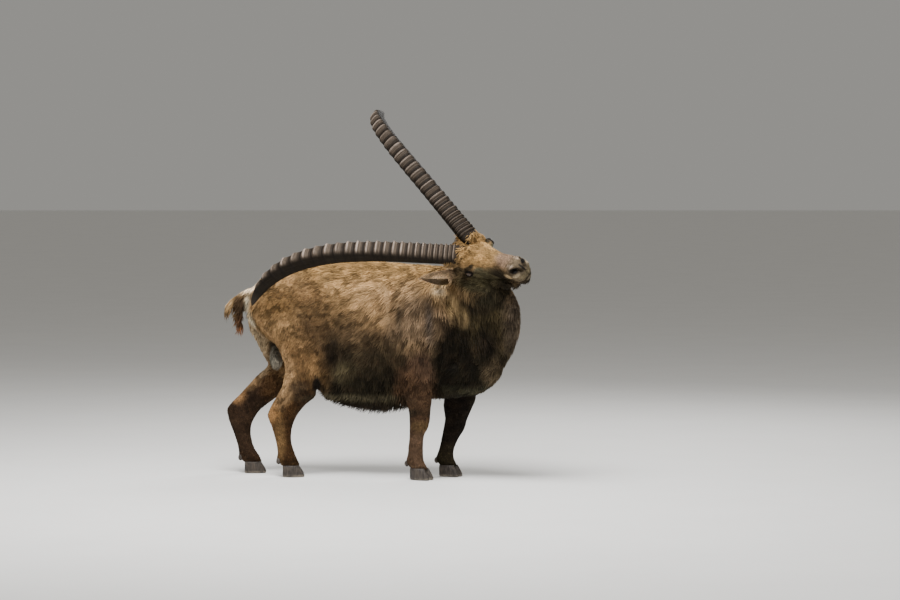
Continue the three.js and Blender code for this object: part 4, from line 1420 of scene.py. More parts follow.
tone = np.clip(0.5 + 0.26 * (tone + draw.normal(0, 0.35, total)), 0, 1)
curl_way = np.where(draw.random(total) < 0.5, -1, 1)
own_lift = draw.uniform(0.6, 1.45, total)
wiggle = draw.normal(0, 1, total)
print("clumps:", clump_count, "longest tuft, mm:", round(float(length.max())))

# %% Shade of the hair
CUP_SHADE, MOUTH_SHADE, NOSTRIL_SHADE, LID_SHADE = 0.75, 0.92, 0.93, 0.85
MOUTH_REACH, NOSTRIL_REACH, LID_REACH, LID_EDGE = 8, 11, 9, 16


def shade_at(points, facing):
    """Share of light the hair keeps: little in an ear's cup, the lips, a nostril, the eye's rim."""
    half = on_left_half(world_to_head(points) / MM)
    keep = 1 - CUP_SHADE * inside_ear(points, facing)
    keep *= 1 - MOUTH_SHADE * bell(distance_to_line(half, laid["mouth"]), MOUTH_REACH)
    keep *= 1 - NOSTRIL_SHADE * bell(distance_to_line(half, laid["nostril"]), NOSTRIL_REACH)
    seen = seen_from_eye(half, 1)
    rim = np.maximum(np.hypot(seen[:, 0], seen[:, 1]) - LID_EDGE, 0)
    return keep * (1 - LID_SHADE * bell(rim, LID_REACH) * smoothstep(seen[:, 2], 0, 10))


shade = shade_at(root, up)
store(skin.data, "shade", shade_at(skin_points, skin_normals))
print("darkest hair keeps", round(float(shade.min()), 2), "of its light")

# %% Shape of one wisp
SHARES_LONG = (0.0, 0.34, 0.70, 1.0)
SHARES_SHORT = (0.0, 0.50, 1.0)
BODY_OF_WISP = {0.0: 0.75, 0.34: 1.0, 0.50: 0.92, 0.70: 0.66}
FLATNESS = 0.34
ROOT_SUNK = 1.6
PATCH = 0.003


def wisp_centres(rings, pick):
    """Centres of the wisp's rings for the picked tufts, at shares of its length."""
    size = length[pick] * MM
    tip = root[pick] + heading[pick] * size[:, None]
    leader = clump[pick]
    leader_tip = root[leader] + heading[leader] * (length[leader] * MM)[:, None]
    cross_way = unit(np.cross(up[pick], heading[pick]))
    turn = curl[pick] * curl_way[pick]
    centres = []
    for t in rings:
        rise = lift[pick] * own_lift[pick] * t * (1 - 0.62 * t) - ROOT_SUNK / length[pick] * (1 - t)
        sideways = 0.30 * turn * math.sin(t * 3.6) + 0.05 * wiggle[pick] * math.sin(t * 5)
        forward = t * (1 - 0.25 * np.abs(turn) * t)
        centre = root[pick] + heading[pick] * (size * forward)[:, None]
        centre += up[pick] * (size * rise)[:, None] + cross_way * (size * sideways)[:, None]
        centre += (leader_tip - tip) * (pull[pick] * 0.55 * t * t)[:, None]
        centres.append(kept_in_box(centre, HAIR_EASE))
    return np.array(centres), cross_way


def wisp_faces(steps):
    """Triangles of one closed wisp: its root, its sides and its point."""
    faces = [(0, 1, 2)]
    for k in range(steps - 2):
        for c in range(3):
            a, b = 3 * k + c, 3 * k + (c + 1) % 3
            faces += [(a, b + 3, b), (a, a + 3, b + 3)]
    last, point = 3 * (steps - 2), 3 * (steps - 1)
    faces += [(last + c, point, last + (c + 1) % 3) for c in range(3)]
    return np.array(faces)


print("triangles of a long and a short wisp:", len(wisp_faces(4)), len(wisp_faces(3)))

# %% Build the coat pieces


def coat_piece(name, pick, rings):
    """One mesh of many tufts, each with its own shade and its own patch of the map."""
    centres, cross_way = wisp_centres(rings, pick)
    n, per = len(pick), 3 * (len(rings) - 1) + 1
    tangent = np.gradient(centres, axis=0)
    points, uv, reach = np.zeros((n, per, 3)), np.zeros((n, per, 2)), np.zeros((n, per))
    for k, t in enumerate(rings[:-1]):
        half = (width[pick] * MM / 2 * BODY_OF_WISP[t])[:, None]
        thick = unit(np.cross(unit(tangent[k]), cross_way))
        thick *= np.sign((thick * up[pick]).sum(1, keepdims=True) + 1e-9)
        points[:, 3 * k] = centres[k] - cross_way * half
        points[:, 3 * k + 1] = centres[k] + cross_way * half
        points[:, 3 * k + 2] = centres[k] + thick * half * 2 * FLATNESS
        for c, offset in enumerate((-0.5, 0.5, 0.0)):
            uv[:, 3 * k + c] = root_uv[pick] + [offset * PATCH, (t - 0.5) * PATCH]
            reach[:, 3 * k + c] = t
    points[:, -1] = centres[-1]
    uv[:, -1] = root_uv[pick] + [0, 0.5 * PATCH]
    reach[:, -1] = 1
    index = (wisp_faces(len(rings))[None] + (np.arange(n) * per)[:, None, None]).reshape(-1)
    mesh = bpy.data.meshes.new(name)
    mesh.vertices.add(n * per)
    mesh.vertices.foreach_set("co", points.astype(np.float32).ravel())
    mesh.loops.add(len(index))
    mesh.loops.foreach_set("vertex_index", index.astype(np.int32))
    mesh.polygons.add(len(index) // 3)
    mesh.polygons.foreach_set("loop_start", np.arange(0, len(index), 3, dtype=np.int32))
    mesh.polygons.foreach_set("use_smooth", np.ones(len(index) // 3, bool))
    layer = mesh.uv_layers.new(name=BAKE_MAP)
    layer.data.foreach_set("uv", uv.reshape(-1, 2)[index].astype(np.float32).ravel())
    store(mesh, "reach", reach.ravel())
    store(mesh, "tone", np.repeat(tone[pick], per))
    store(mesh, "shade", np.repeat(shade[pick], per))
    mesh.update()
    mesh.validate()
    made = show(name, mesh)
    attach(made, "root")
    return made


LONG_HAIR = 20
MOST_TRIANGLES = 190000
NECK_FRONT, NECK_LOW = 260, 430
RUMP_FRONT, FOREARM_TOP, SHANK_TOP = -180, 270, LEG_TOP - 60
x, z = root_mm[:, 0], root_mm[:, 2]
regions = {
    "head": share > 0.5,
    "neck": (x > NECK_FRONT) & (z > NECK_LOW),
    "legs": (z <= SHANK_TOP) & ((x < RUMP_FRONT) | (z < FOREARM_TOP)),
    "rump": x < RUMP_FRONT,
    "trunk": np.ones(total, bool),
}
kinds = {
    "long": (SHARES_LONG, length >= LONG_HAIR),
    "short": (SHARES_SHORT, length < LONG_HAIR),
}
left_over = np.ones(total, bool)
coat = []
for title, region in regions.items():
    inside = region & left_over
    left_over &= ~inside
    for kind, (rings, fits) in kinds.items():
        pick = np.flatnonzero(inside & fits)
        if len(pick) == 0:
            continue
        parts = math.ceil(len(pick) * len(wisp_faces(len(rings))) / MOST_TRIANGLES)
        order = pick[np.argsort(root[pick, 0], kind="stable")]
        for k, some in enumerate(np.array_split(order, parts)):
            coat.append(coat_piece(f"coat_{title}_{kind}_{k + 1}", some, rings))
triangles = sum(len(piece.data.polygons) for piece in coat)
print("coat pieces:", len(coat), "triangles:", triangles)

# %% [markdown]
# ## Small tools for shader nodes
#
# Every finish is made of nodes, so that it can be baked and has no image behind it. The helper
# below adds a node, sets or links its inputs and gives back its first output, which keeps
# each material short enough to read.

# %% Node tools
LINKABLE = bpy.types.NodeSocket


class Bench:
    """A node tree being filled: each call adds one node and returns its output."""

    def __init__(self, tree):
        self.tree = tree

    def feed(self, node, inputs):
        """Links what comes from another node and sets the rest."""
        for key, value in dict(inputs).items():
            if isinstance(value, LINKABLE):
                self.tree.links.new(value, node.inputs[key])
            else:
                node.inputs[key].default_value = value

    def add(self, kind, inputs=(), output=0, **settings):
        node = self.tree.nodes.new(kind)
        for key, value in settings.items():
            setattr(node, key, value)
        self.feed(node, inputs)
        return node.outputs[output]

    def number(self, operation, a, b=0.0, clamp=False):
        return self.add("ShaderNodeMath", {0: a, 1: b}, operation=operation, use_clamp=clamp)

    def product(self, a, b):
        return self.number("MULTIPLY", a, b)

    def vector(self, operation, a, b=(0, 0, 0)):
        output = 1 if operation in ("LENGTH", "DOT_PRODUCT") else 0
        return self.add("ShaderNodeVectorMath", {0: a, 1: b}, output, operation=operation)

    def scaled(self, colour, amount):
        return self.add("ShaderNodeVectorMath", {0: colour, "Scale": amount}, operation="SCALE")

    def joined(self, x, y, z=0.0):
        return self.add("ShaderNodeCombineXYZ", {0: x, 1: y, 2: z})

    def fade(self, value, low_edge, high_edge, start=0.0, end=1.0):
        """Soft step from start to end while the value goes from one edge to the other."""
        edges = {"From Min": low_edge, "From Max": high_edge, "To Min": start, "To Max": end}
        return self.add("ShaderNodeMapRange", {"Value": value, **edges}, interpolation_type="SMOOTHSTEP")

    def noise(self, place, scale, detail=3.0, rough=0.55):
        inputs = {"Vector": place, "Scale": scale, "Detail": detail, "Roughness": rough}
        return self.add("ShaderNodeTexNoise", inputs)

    def blend(self, share, first, second):
        """The first colour where the share is 0 and the second where it is 1."""
        colours = [c if isinstance(c, LINKABLE) else (*c, 1) for c in (first, second)]
        return self.add("ShaderNodeMix", {0: share, 6: colours[0], 7: colours[1]}, 2, data_type="RGBA")

    def bump(self, height, strength, distance):
        inputs = {"Strength": strength, "Distance": distance, "Height": height}
        return self.add("ShaderNodeBump", inputs)

    def stretch(self, place, scale):
        return self.vector("MULTIPLY", place, scale)

    def parts(self, vector):
        node = self.tree.nodes.new("ShaderNodeSeparateXYZ")
        self.tree.links.new(vector, node.inputs[0])
        return node.outputs

    def ramp(self, value, stops):
        node = self.tree.nodes.new("ShaderNodeValToRGB")
        self.tree.links.new(value, node.inputs[0])
        elements = node.color_ramp.elements
        while len(elements) < len(stops):
            elements.new(0.5)
        for element, (position, colour) in zip(elements, stops):
            element.position = position
            element.color = (*colour, 1)
        return node.outputs[0]


def new_group(name, inputs, outputs):
    """A shader node group with named sockets, and a bench to fill it."""
    tree = bpy.data.node_groups.new(name, "ShaderNodeTree")
    for way, sockets in (("INPUT", inputs), ("OUTPUT", outputs)):
        for title, kind in sockets:
            tree.interface.new_socket(title, in_out=way, socket_type="NodeSocket" + kind)
    source = tree.nodes.new("NodeGroupInput")
    sink = tree.nodes.new("NodeGroupOutput")
    return tree, Bench(tree), source.outputs, sink.inputs


def use_group(bench, tree, inputs):
    node = bench.tree.nodes.new("ShaderNodeGroup")
    node.node_tree = tree
    bench.feed(node, inputs)
    return node.outputs


def new_material(name, **settings):
    """A material with plain numbers on its shader, and a bench to fill it."""
    material = bpy.data.materials.new(name)
    material.use_nodes = True
    shader = material.node_tree.nodes["Principled BSDF"]
    for key, value in settings.items():
        shader.inputs[key.replace("_", " ").title().replace("Ior", "IOR")].default_value = value
    bench = Bench(material.node_tree)
    return material, bench, shader.inputs


def object_place(bench):
    return bench.add("ShaderNodeTexCoord", output=3)


def named_value(bench, title):
    return bench.add("ShaderNodeAttribute", output=2, attribute_name=title)


def link(bench, value, socket):
    bench.tree.links.new(value, socket)


print("node tools ready")

# %% [markdown]
# ## Markings of the coat
#
# The summer coat is tan on the back and forehead, umber on the flanks and nearly black on the
# chest and along the belly, with a pale line under it, a white patch below the tail and
# chestnut legs. Skin and coat must agree, so both use one group. It starts from a ramp by
# height and lays soft, ragged zones over it, each given by its middle, reach, softness and
# colour. Sizes are in mm. Some of it is painted light: the ramp darkens towards the belly partly
# as painted shade, some zones are painted shade in folds, under the head and jaw, round the eye
# and in the nostril, and others lighten the top of the tail, the ear, the back of the thigh and
# the upper flank as painted light.

# %% Zones of colour
# Darker towards the belly: partly the coat's own colour, partly painted shade of the underside.
HEIGHT_RAMP = [
    # height in mm, colour
    (250, (0.026, 0.020, 0.010)),
    (400, (0.014, 0.011, 0.006)),
    (500, (0.036, 0.026, 0.014)),
    (590, (0.110, 0.070, 0.036)),
    (650, (0.190, 0.118, 0.056)),
    (740, (0.375, 0.228, 0.100)),
    (850, (0.330, 0.196, 0.075)),
]
FAR_OUT = 4000
BODY_ZONES = [
    # middle, reach, softness of the edge, colour
    ((-395, 100, 640), (140, FAR_OUT, 160), 0.60, (0.380, 0.232, 0.104)),
    ((-325, 100, 450), (112, FAR_OUT, 110), 0.65, (0.260, 0.150, 0.064)),
    ((-290, 100, 735), (74, FAR_OUT, 50), 0.90, (0.200, 0.116, 0.050)),
    ((-262, 100, 600), (70, FAR_OUT, 86), 0.90, (0.100, 0.060, 0.028)),
    ((-440, 100, 215), (230, FAR_OUT, 190), 0.25, (0.060, 0.030, 0.012)),
    ((-540, 184, 250), (90, 90, 220), 0.30, (0.036, 0.020, 0.011)),
    ((-345, 0, 225), (60, 90, 200), 0.50, (0.045, 0.021, 0.007)),
    ((-300, 0, 330), (34, 90, 80), 0.60, (0.034, 0.018, 0.008)),
    ((-482, 184, 440), (34, 90, 40), 0.60, (0.400, 0.280, 0.160)),
    ((-530, 184, 378), (44, 90, 34), 0.60, (0.360, 0.220, 0.105)),
    ((-575, 184, 318), (34, 90, 34), 0.60, (0.260, 0.140, 0.060)),
    ((-395, 22, 160), (22, 60, 110), 0.60, (0.170, 0.098, 0.040)),
    ((-425, 20, 262), (26, 60, 46), 0.50, (0.270, 0.145, 0.057)),
    # Painted light: the lower back of the near thigh is lightened as if lit.
    ((-382, 0, 404), (46, 100, 88), 0.70, (0.520, 0.325, 0.160)),
    ((-322, 0, 362), (36, 90, 24), 0.60, (0.060, 0.038, 0.020)),
    # Painted shade in the fold between the near thigh and the flank.
    ((-180, 60, 500), (44, FAR_OUT, 76), 0.90, (0.020, 0.014, 0.008)),
    ((-140, 60, 425), (40, FAR_OUT, 40), 0.80, (0.066, 0.053, 0.028)),
    # Painted shade where the thigh meets the belly, along the same fold.
    ((-246, 60, 372), (18, FAR_OUT, 34), 0.50, (0.008, 0.006, 0.004)),
    # Painted highlight: a bright patch on the upper flank behind the shoulder.
    ((15, 100, 700), (112, FAR_OUT, 76), 0.80, (0.480, 0.300, 0.145)),
    ((160, 0, 640), (110, FAR_OUT, 110), 0.60, (0.230, 0.155, 0.092)),
    # Painted shade: this and the next zone are dark creases along the edges of the shoulder.
    ((86, 0, 630), (14, FAR_OUT, 60), 0.90, (0.110, 0.076, 0.046)),
    ((205, 0, 630), (16, FAR_OUT, 80), 0.90, (0.090, 0.068, 0.052)),
    ((-410, 100, 705), (80, FAR_OUT, 60), 0.60, (0.215, 0.125, 0.050)),
    ((140, 0, 520), (60, FAR_OUT, 40), 0.70, (0.150, 0.098, 0.052)),
    ((84, 0, 486), (34, FAR_OUT, 34), 0.90, (0.045, 0.030, 0.016)),
    ((165, -140, 425), (62, 130, 90), 0.35, (0.062, 0.036, 0.022)),
    ((425, -150, 650), (130, FAR_OUT, 150), 0.40, (0.032, 0.024, 0.011)),
    ((425, -150, 545), (50, FAR_OUT, 50), 0.80, (0.012, 0.009, 0.006)),
    ((310, -120, 480), (84, FAR_OUT, 140), 0.35, (0.009, 0.007, 0.004)),
    ((400, -150, 400), (120, FAR_OUT, 75), 0.40, (0.010, 0.008, 0.004)),
    # Painted shadow of the head on the neck below it.
    ((400, -150, 742), (70, FAR_OUT, 60), 0.60, (0.013, 0.010, 0.006)),
    ((545, -200, 665), (44, FAR_OUT, 135), 0.70, (0.085, 0.064, 0.045)),
    ((464, -240, 428), (44, FAR_OUT, 52), 0.60, (0.078, 0.057, 0.033)),
    ((252, -120, 748), (32, FAR_OUT, 40), 0.60, (0.520, 0.370, 0.205)),
    ((296, -120, 700), (24, FAR_OUT, 40), 0.60, (0.330, 0.225, 0.108)),
    ((338, -120, 655), (22, FAR_OUT, 34), 0.70, (0.200, 0.138, 0.066)),
    ((345, -150, 360), (95, FAR_OUT, 16), 0.95, (0.034, 0.031, 0.017)),
    ((150, -90, 300), (90, 90, 170), 0.25, (0.062, 0.034, 0.018)),
    ((172, -120, 210), (40, 60, 24), 0.60, (0.115, 0.070, 0.032)),
    ((300, 55, 250), (90, 90, 160), 0.25, (0.009, 0.006, 0.004)),
    ((160, -90, 110), (90, 90, 80), 0.35, (0.098, 0.058, 0.034)),
    ((-100, 85, 318), (150, FAR_OUT, 14), 0.95, (0.080, 0.068, 0.040)),
    ((-60, 85, 270), (240, FAR_OUT, 24), 0.40, (0.016, 0.012, 0.007)),
    ((-496, 150, 530), (52, 90, 110), 0.50, (0.300, 0.225, 0.135)),
    ((-424, 150, 500), (22, 70, 70), 0.60, (0.026, 0.020, 0.013)),
]
CLEAN_ZONES = [
    # the same, laid over the mottling
    ((248, -150, 752), (16, 60, 12), 0.60, (0.330, 0.260, 0.175)),
    ((-514, 97, 664), (36, 62, 72), 0.30, (0.740, 0.640, 0.460)),
    ((-414, 100, 468), (32, 50, 54), 0.18, (0.210, 0.190, 0.150)),
    # Painted light: the top of the tail is lightened as if lit, over its own tan.
    ((-538, 92, 772), (72, 70, 44), 0.35, (0.940, 0.730, 0.480)),
    ((-562, 90, 680), (28, 70, 48), 0.40, (0.050, 0.030, 0.016)),
    ((-612, 90, 704), (24, 70, 40), 0.50, (0.480, 0.320, 0.160)),
    ((-556, 90, 606), (26, 70, 46), 0.40, (0.060, 0.030, 0.015)),
    ((-556, 90, 576), (26, 60, 18), 0.50, (0.170, 0.070, 0.028)),
]
FACE_ZONES = [
    # middle on the left half of the head's frame, reach, softness, colour
    ((10, 0, 45), (135, 74, 62), 0.35, (0.400, 0.240, 0.094)),
    ((165, 0, 6), (52, 40, 34), 0.40, (0.215, 0.140, 0.090)),
    # Painted shade: the throat under the head.
    ((-10, 0, -172), (240, 200, 52), 0.40, (0.022, 0.017, 0.010)),
    ((25, 66, -66), (160, 54, 62), 0.30, (0.084, 0.070, 0.037)),
    # Painted shade under the jaw.
    ((30, 30, -128), (170, 64, 36), 0.35, (0.026, 0.019, 0.010)),
    ((-15, 112, -132), (120, 44, 40), 0.50, (0.021, 0.017, 0.009)),
    ((206, 10, -50), (42, 50, 62), 0.40, (0.135, 0.100, 0.062)),
    # Painted shade on the lower side of the muzzle.
    ((118, 50, -58), (60, 34, 44), 0.50, (0.028, 0.020, 0.011)),
    ((42, 66, -8), (26, 18, 14), 0.40, (0.150, 0.130, 0.074)),
    # Painted shade round the eye and under the brow.
    ((2, 84, -6), (27, 30, 22), 0.50, (0.020, 0.014, 0.009)),
    ((8, 68, 17), (34, 16, 7), 0.40, (0.045, 0.032, 0.017)),
    ((160, 46, -54), (20, 16, 14), 0.40, (0.400, 0.290, 0.165)),
    ((198, 33, -50), (24, 12, 8), 0.40, (0.330, 0.260, 0.170)),
    ((200, 27, -9), (22, 12, 7), 0.40, (0.330, 0.250, 0.180)),
    ((216, 12, -70), (18, 26, 16), 0.40, (0.170, 0.135, 0.080)),
    # Painted shade under the chin and the lower jaw, in this and the next zone.
    ((206, 0, -114), (44, 44, 22), 0.40, (0.026, 0.019, 0.011)),
    ((172, 0, -126), (60, 44, 24), 0.40, (0.022, 0.016, 0.010)),
    ((224, 4, -97), (10, 16, 6), 0.50, (0.400, 0.330, 0.230)),
    ((-70, 72, -25), (34, 26, 40), 0.45, (0.120, 0.085, 0.045)),
    # Painted light: the ear is lightened where the horn shades it.
    ((-185, 132, 10), (110, 74, 74), 0.20, (0.600, 0.415, 0.250)),
    # Painted shade in the opening of the nostril.
    ((204, 27, -31), (21, 14, 9), 0.35, (0.009, 0.007, 0.006)),
    ((220, 0, -40), (14, 4, 20), 0.40, (0.022, 0.018, 0.015)),
]
FACE_BASE, FACE_MOTTLE = (0.215, 0.138, 0.066), 0.7
RAMP_RAGGED, FINE_RAGGED = 0.10, 0.6
DUSKY, DUSKY_DEPTH, PATCH_SHARE = (0.040, 0.024, 0.012), 0.6, 0.36
DAPPLE, DAPPLE_SHARE = (0.080, 0.040, 0.018), 0.60
THIGH_ZONE = ((-385, 100, 620), (170, FAR_OUT, 270), 0.40)
HEAD_ZONE = ((55, 0, -42), (245, 190, 138), 0.10)
EAR_ZONE = ((-185, 132, 10), (100, 62, 62), 0.10)
print("zones on the body:", len(BODY_ZONES) + len(CLEAN_ZONES), "on the face:", len(FACE_ZONES))

# %% Group of the markings


def zone_mask(bench, place, zone, ragged, shift=0.0):
    """1 inside a soft ball, 0 outside, with a ragged edge."""
    middle, reach, softness = zone
    centred = bench.vector("SUBTRACT", place, tuple(np.array(middle) * MM + shift))
    from_middle = bench.vector("DIVIDE", centred, tuple(np.array(reach) * MM))
    distance = bench.number("ADD", bench.vector("LENGTH", from_middle), ragged)
    return bench.fade(distance, 1 - softness, 1 + softness, 1.0, 0.0)


def paint_zones(bench, colour, place, zones, ragged, shift=0.0):
    """The colour with every zone laid over it, one after the other."""
    for *zone, tint in zones:
        colour = bench.blend(zone_mask(bench, place, zone, ragged, shift), colour, tint)
    return colour


def ramp_by_height(bench, place, ragged):
    lowest, highest = HEIGHT_RAMP[0][0] * MM, HEIGHT_RAMP[-1][0] * MM
    uneven = bench.number("ADD", bench.parts(place)[2], bench.product(ragged, RAMP_RAGGED))
    above = bench.number("SUBTRACT", uneven, lowest)
    share = bench.number("DIVIDE", above, highest - lowest, clamp=True)
    return bench.ramp(share, [((z * MM - lowest) / (highest - lowest), tint) for z, tint in HEIGHT_RAMP])


def mottled(bench, body, place, ragged):
    """The body's colours with dusky patches all over and small dapples on the thighs."""
    cloud = bench.noise(bench.stretch(place, (0.45, 1, 1.1)), 30, 4, 0.65)
    dusky = bench.blend(DUSKY_DEPTH, body, DUSKY)
    body = bench.blend(bench.product(bench.fade(cloud, 0.42, 0.68), PATCH_SHARE), body, dusky)
    specks = bench.noise(bench.stretch(place, (1, 1, 0.8)), 135, 3, 0.80)
    thigh = zone_mask(bench, place, THIGH_ZONE, ragged, SHIFT)
    dapples = bench.product(bench.fade(specks, 0.52, 0.62), thigh)
    return bench.blend(bench.product(dapples, DAPPLE_SHARE), body, DAPPLE)


def in_head_frame(bench, place):
    """The place in the head's frame, brought to its left half."""
    centred = bench.vector("SUBTRACT", place, tuple(HEAD_PLACE + SHIFT))
    x, y, z = (bench.vector("DOT_PRODUCT", centred, tuple(HEAD_TURN[:, k])) for k in range(3))
    return bench.joined(x, bench.number("ABSOLUTE", y), z)


def coat_markings():
    inputs, outputs = [("Place", "Vector"), ("Raggedness", "Float")], [("Color", "Color")]
    tree, bench, source, sink = new_group("ibex markings", inputs, outputs)
    place = source["Place"]
    wavy = bench.number("SUBTRACT", bench.noise(place, 11, 5, 0.65), 0.5)
    ragged = bench.product(wavy, source["Raggedness"])
    fine = bench.product(ragged, FINE_RAGGED)
    body = paint_zones(bench, ramp_by_height(bench, place, ragged), place, BODY_ZONES, ragged, SHIFT)
    body = mottled(bench, body, place, ragged)
    body = paint_zones(bench, body, place, CLEAN_ZONES, fine, SHIFT)
    in_head = in_head_frame(bench, place)
    darker = tuple(FACE_MOTTLE * c for c in FACE_BASE)
    face = bench.blend(bench.noise(place, 60, 3), FACE_BASE, darker)
    face = paint_zones(bench, face, in_head, FACE_ZONES, fine)
    masks = [zone_mask(bench, in_head, zone, fine) for zone in (HEAD_ZONE, EAR_ZONE)]
    link(bench, bench.blend(bench.number("MAXIMUM", *masks), body, face), sink["Color"])
    return tree


MARKINGS = coat_markings()
print("nodes in the group:", len(MARKINGS.nodes))

# %% [markdown]
# ## Coat and skin
#
# Each tuft has its own shade, is darker at the root and bleached at the tip. The skin below it
# is darker, as hair shades it, and has a fine bump that reads as short hair where tufts are
# few: on the nose, the lids and the lower legs.

# %% Coat and skin materials
RAGGEDNESS, COAT_SHINE = 0.9, 0.08
TONE_DARK, TONE_LIGHT = 0.38, 1.50
ROOT_LIGHT, TIP_LIGHT, BLEACHING = 0.62, 1.16, 1.9
STRAW, STRAW_SHARE = (0.45, 0.32, 0.18), 0.03
HAIR_SCALE, PEBBLE_SCALE = 420.0, 620.0


def coat_finish():
    material, bench, shader = new_material("ibex coat", roughness=0.7, specular_ior_level=COAT_SHINE)
    marks = use_group(bench, MARKINGS, {"Place": object_place(bench), "Raggedness": RAGGEDNESS})
    tone, reach = named_value(bench, "tone"), named_value(bench, "reach")
    light = bench.product(bench.fade(tone, 0.0, 1.0, TONE_DARK, TONE_LIGHT), named_value(bench, "shade"))
    along = bench.fade(reach, 0.0, 0.9, ROOT_LIGHT, TIP_LIGHT)
    hair = bench.scaled(marks["Color"], bench.product(light, along))
    bleached = bench.blend(STRAW_SHARE, bench.scaled(hair, BLEACHING), STRAW)
    pale_share = bench.product(bench.fade(reach, 0.55, 1.0), bench.fade(tone, 0.45, 1.0, 0.0, 0.5))
    link(bench, bench.blend(pale_share, hair, bleached), shader["Base Color"])
    link(bench, bench.fade(tone, 0, 1, 0.80, 0.60), shader["Roughness"])
    return material


def skin_finish():
    material, bench, shader = new_material("ibex skin", roughness=0.7, specular_ior_level=COAT_SHINE)
    place = object_place(bench)
    marks = use_group(bench, MARKINGS, {"Place": place, "Raggedness": RAGGEDNESS})
    hairs = bench.noise(bench.stretch(place, (1, 1, 0.22)), HAIR_SCALE, 4, 0.6)
    pebbles = bench.add("ShaderNodeTexVoronoi", {"Vector": place, "Scale": PEBBLE_SCALE})
    fleck = bench.product(bench.fade(hairs, 0.3, 0.75, 0.45, 1.0), named_value(bench, "shade"))
    link(bench, bench.scaled(marks["Color"], fleck), shader["Base Color"])
    link(bench, bench.fade(hairs, 0.3, 0.7, 0.80, 0.55), shader["Roughness"])
    height = bench.number("ADD", hairs, bench.product(pebbles, 0.25))
    link(bench, bench.bump(height, 0.55, 0.0016), shader["Normal"])
    return material


def dress(thing, material):
    thing.data.materials.clear()
    thing.data.materials.append(material)


COAT_FINISH, SKIN_FINISH = coat_finish(), skin_finish()
for piece in coat:
    dress(piece, COAT_FINISH)
dress(skin, SKIN_FINISH)
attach(skin, "root")
FLESH = [node for node in frame["nodes"] if not node.startswith(("horn", "eye", "hoof"))]
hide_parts(*FLESH)
print("flesh nodes replaced by the skin:", len(FLESH))

# %% [markdown]
# ## Horn
#
# Horn is fibrous, with hair-thin growth rings round it and grain along it. The crests of the
# knobs are grey-beige, partly from wear and partly as a painted highlight. The hollows between
# the knobs, the foot under each knob and the flanks are painted dark brown as shade, and the far
# horn is painted darker as a whole as shade. The masks that were stored with the mesh say where
# each of them goes.

# %% Horn material
# Painted light and shade: the flanks are painted near black as shade, the front face lighter as lit.
HORN_FLANK_SHADE, HORN_FRONT_LIT = (0.007, 0.005, 0.003), (0.105, 0.080, 0.060)
HORN_RING, HORN_FIBRE = (0.012, 0.009, 0.006), (0.045, 0.034, 0.023)
# Crests of the knobs: pale partly from wear and partly as a painted highlight.
HORN_WORN_AND_LIT, HORN_TIP = (0.290, 0.230, 0.188), (0.030, 0.024, 0.019)
# Painted shade: dark in the hollows between the knobs and at the foot under each knob.
HORN_HOLLOW_SHADE, HORN_CREASE_SHADE = (0.010, 0.007, 0.005), (0.007, 0.005, 0.004)
RING_PATTERN, FIBRE_PATTERN = (260, 3, 1), (9, 70, 1)


def horn_finish():
    material, bench, shader = new_material("ibex horn", roughness=0.6, specular_ior_level=0.06)
    crest, foot, reach, front, grain, horn_shade = (
        named_value(bench, title) for title in ("crest", "foot", "reach", "front", "grain", "horn_shade")
    )
    along_and_round = bench.joined(reach, grain)
    rings = bench.noise(bench.stretch(along_and_round, RING_PATTERN), 1.0, 4, 0.6)
    fibres = bench.noise(bench.stretch(along_and_round, FIBRE_PATTERN), 1.0, 4, 0.6)
    cloud = bench.noise(object_place(bench), 24, 4, 0.6)
    # painted shade on the flanks, painted light on the front face
    body = bench.blend(bench.fade(front, 0.30, 1.0), HORN_FLANK_SHADE, HORN_FRONT_LIT)
    body = bench.blend(bench.fade(rings, 0.35, 0.65, 0.0, 0.65), body, HORN_RING)
    body = bench.blend(bench.fade(fibres, 0.40, 0.70, 0.0, 0.25), body, HORN_FIBRE)
    # pale crests of the knobs: partly wear, partly a painted highlight
    pale_share = bench.product(bench.fade(crest, 0.72, 1.0), bench.fade(cloud, 0.30, 0.65, 0.45, 1.0))
    pale_share = bench.product(pale_share, bench.fade(front, 0.45, 1.0))
    pale_share = bench.product(pale_share, bench.fade(reach, 0.0, 0.3, 0.55, 1.0))
    body = bench.blend(pale_share, body, HORN_WORN_AND_LIT)
    # painted shade in the hollows between the knobs and under each knob
    hollow_shade = bench.product(bench.fade(crest, 0.02, 0.25, 1.0, 0.0), bench.fade(front, 0.0, 0.7))
    body = bench.blend(bench.product(hollow_shade, 0.75), body, HORN_HOLLOW_SHADE)
    body = bench.blend(bench.product(foot, 0.85), body, HORN_CREASE_SHADE)
    body = bench.blend(bench.fade(reach, 0.90, 1.0), body, HORN_TIP)
    # painted shade: the colour of the far horn is scaled darker
    link(bench, bench.scaled(body, horn_shade), shader["Base Color"])
    link(bench, bench.fade(cloud, 0.3, 0.7, 0.72, 0.52), shader["Roughness"])
    relief = bench.number("ADD", rings, bench.product(fibres, 0.5))
    link(bench, bench.bump(relief, 0.4, 0.0007), shader["Normal"])
    return material


HORN_FINISH = horn_finish()
for piece in horns.values():
    dress(piece, HORN_FINISH)
print("horn material ready")

# %% [markdown]
# ## Eye
#
# The iris is a dark amber with fine spokes and a darker rim, the pupil a level slot. The
# distances from the eye's own axis draw all of it. The surface is nearly mirror-smooth, which
# stands for the wet cornea.

# %% Eye material
IRIS_RADIUS, PUPIL_LONG, PUPIL_HIGH = 12.6, 7.0, 3.0
IRIS_DARK, IRIS_AMBER, IRIS_RIM = (0.020, 0.009, 0.004), (0.048, 0.023, 0.008), (0.020, 0.010, 0.005)
PUPIL = (0.003, 0.003, 0.004)
WHITE_BROWN, WHITE_DARK = (0.030, 0.020, 0.015), (0.014, 0.009, 0.007)


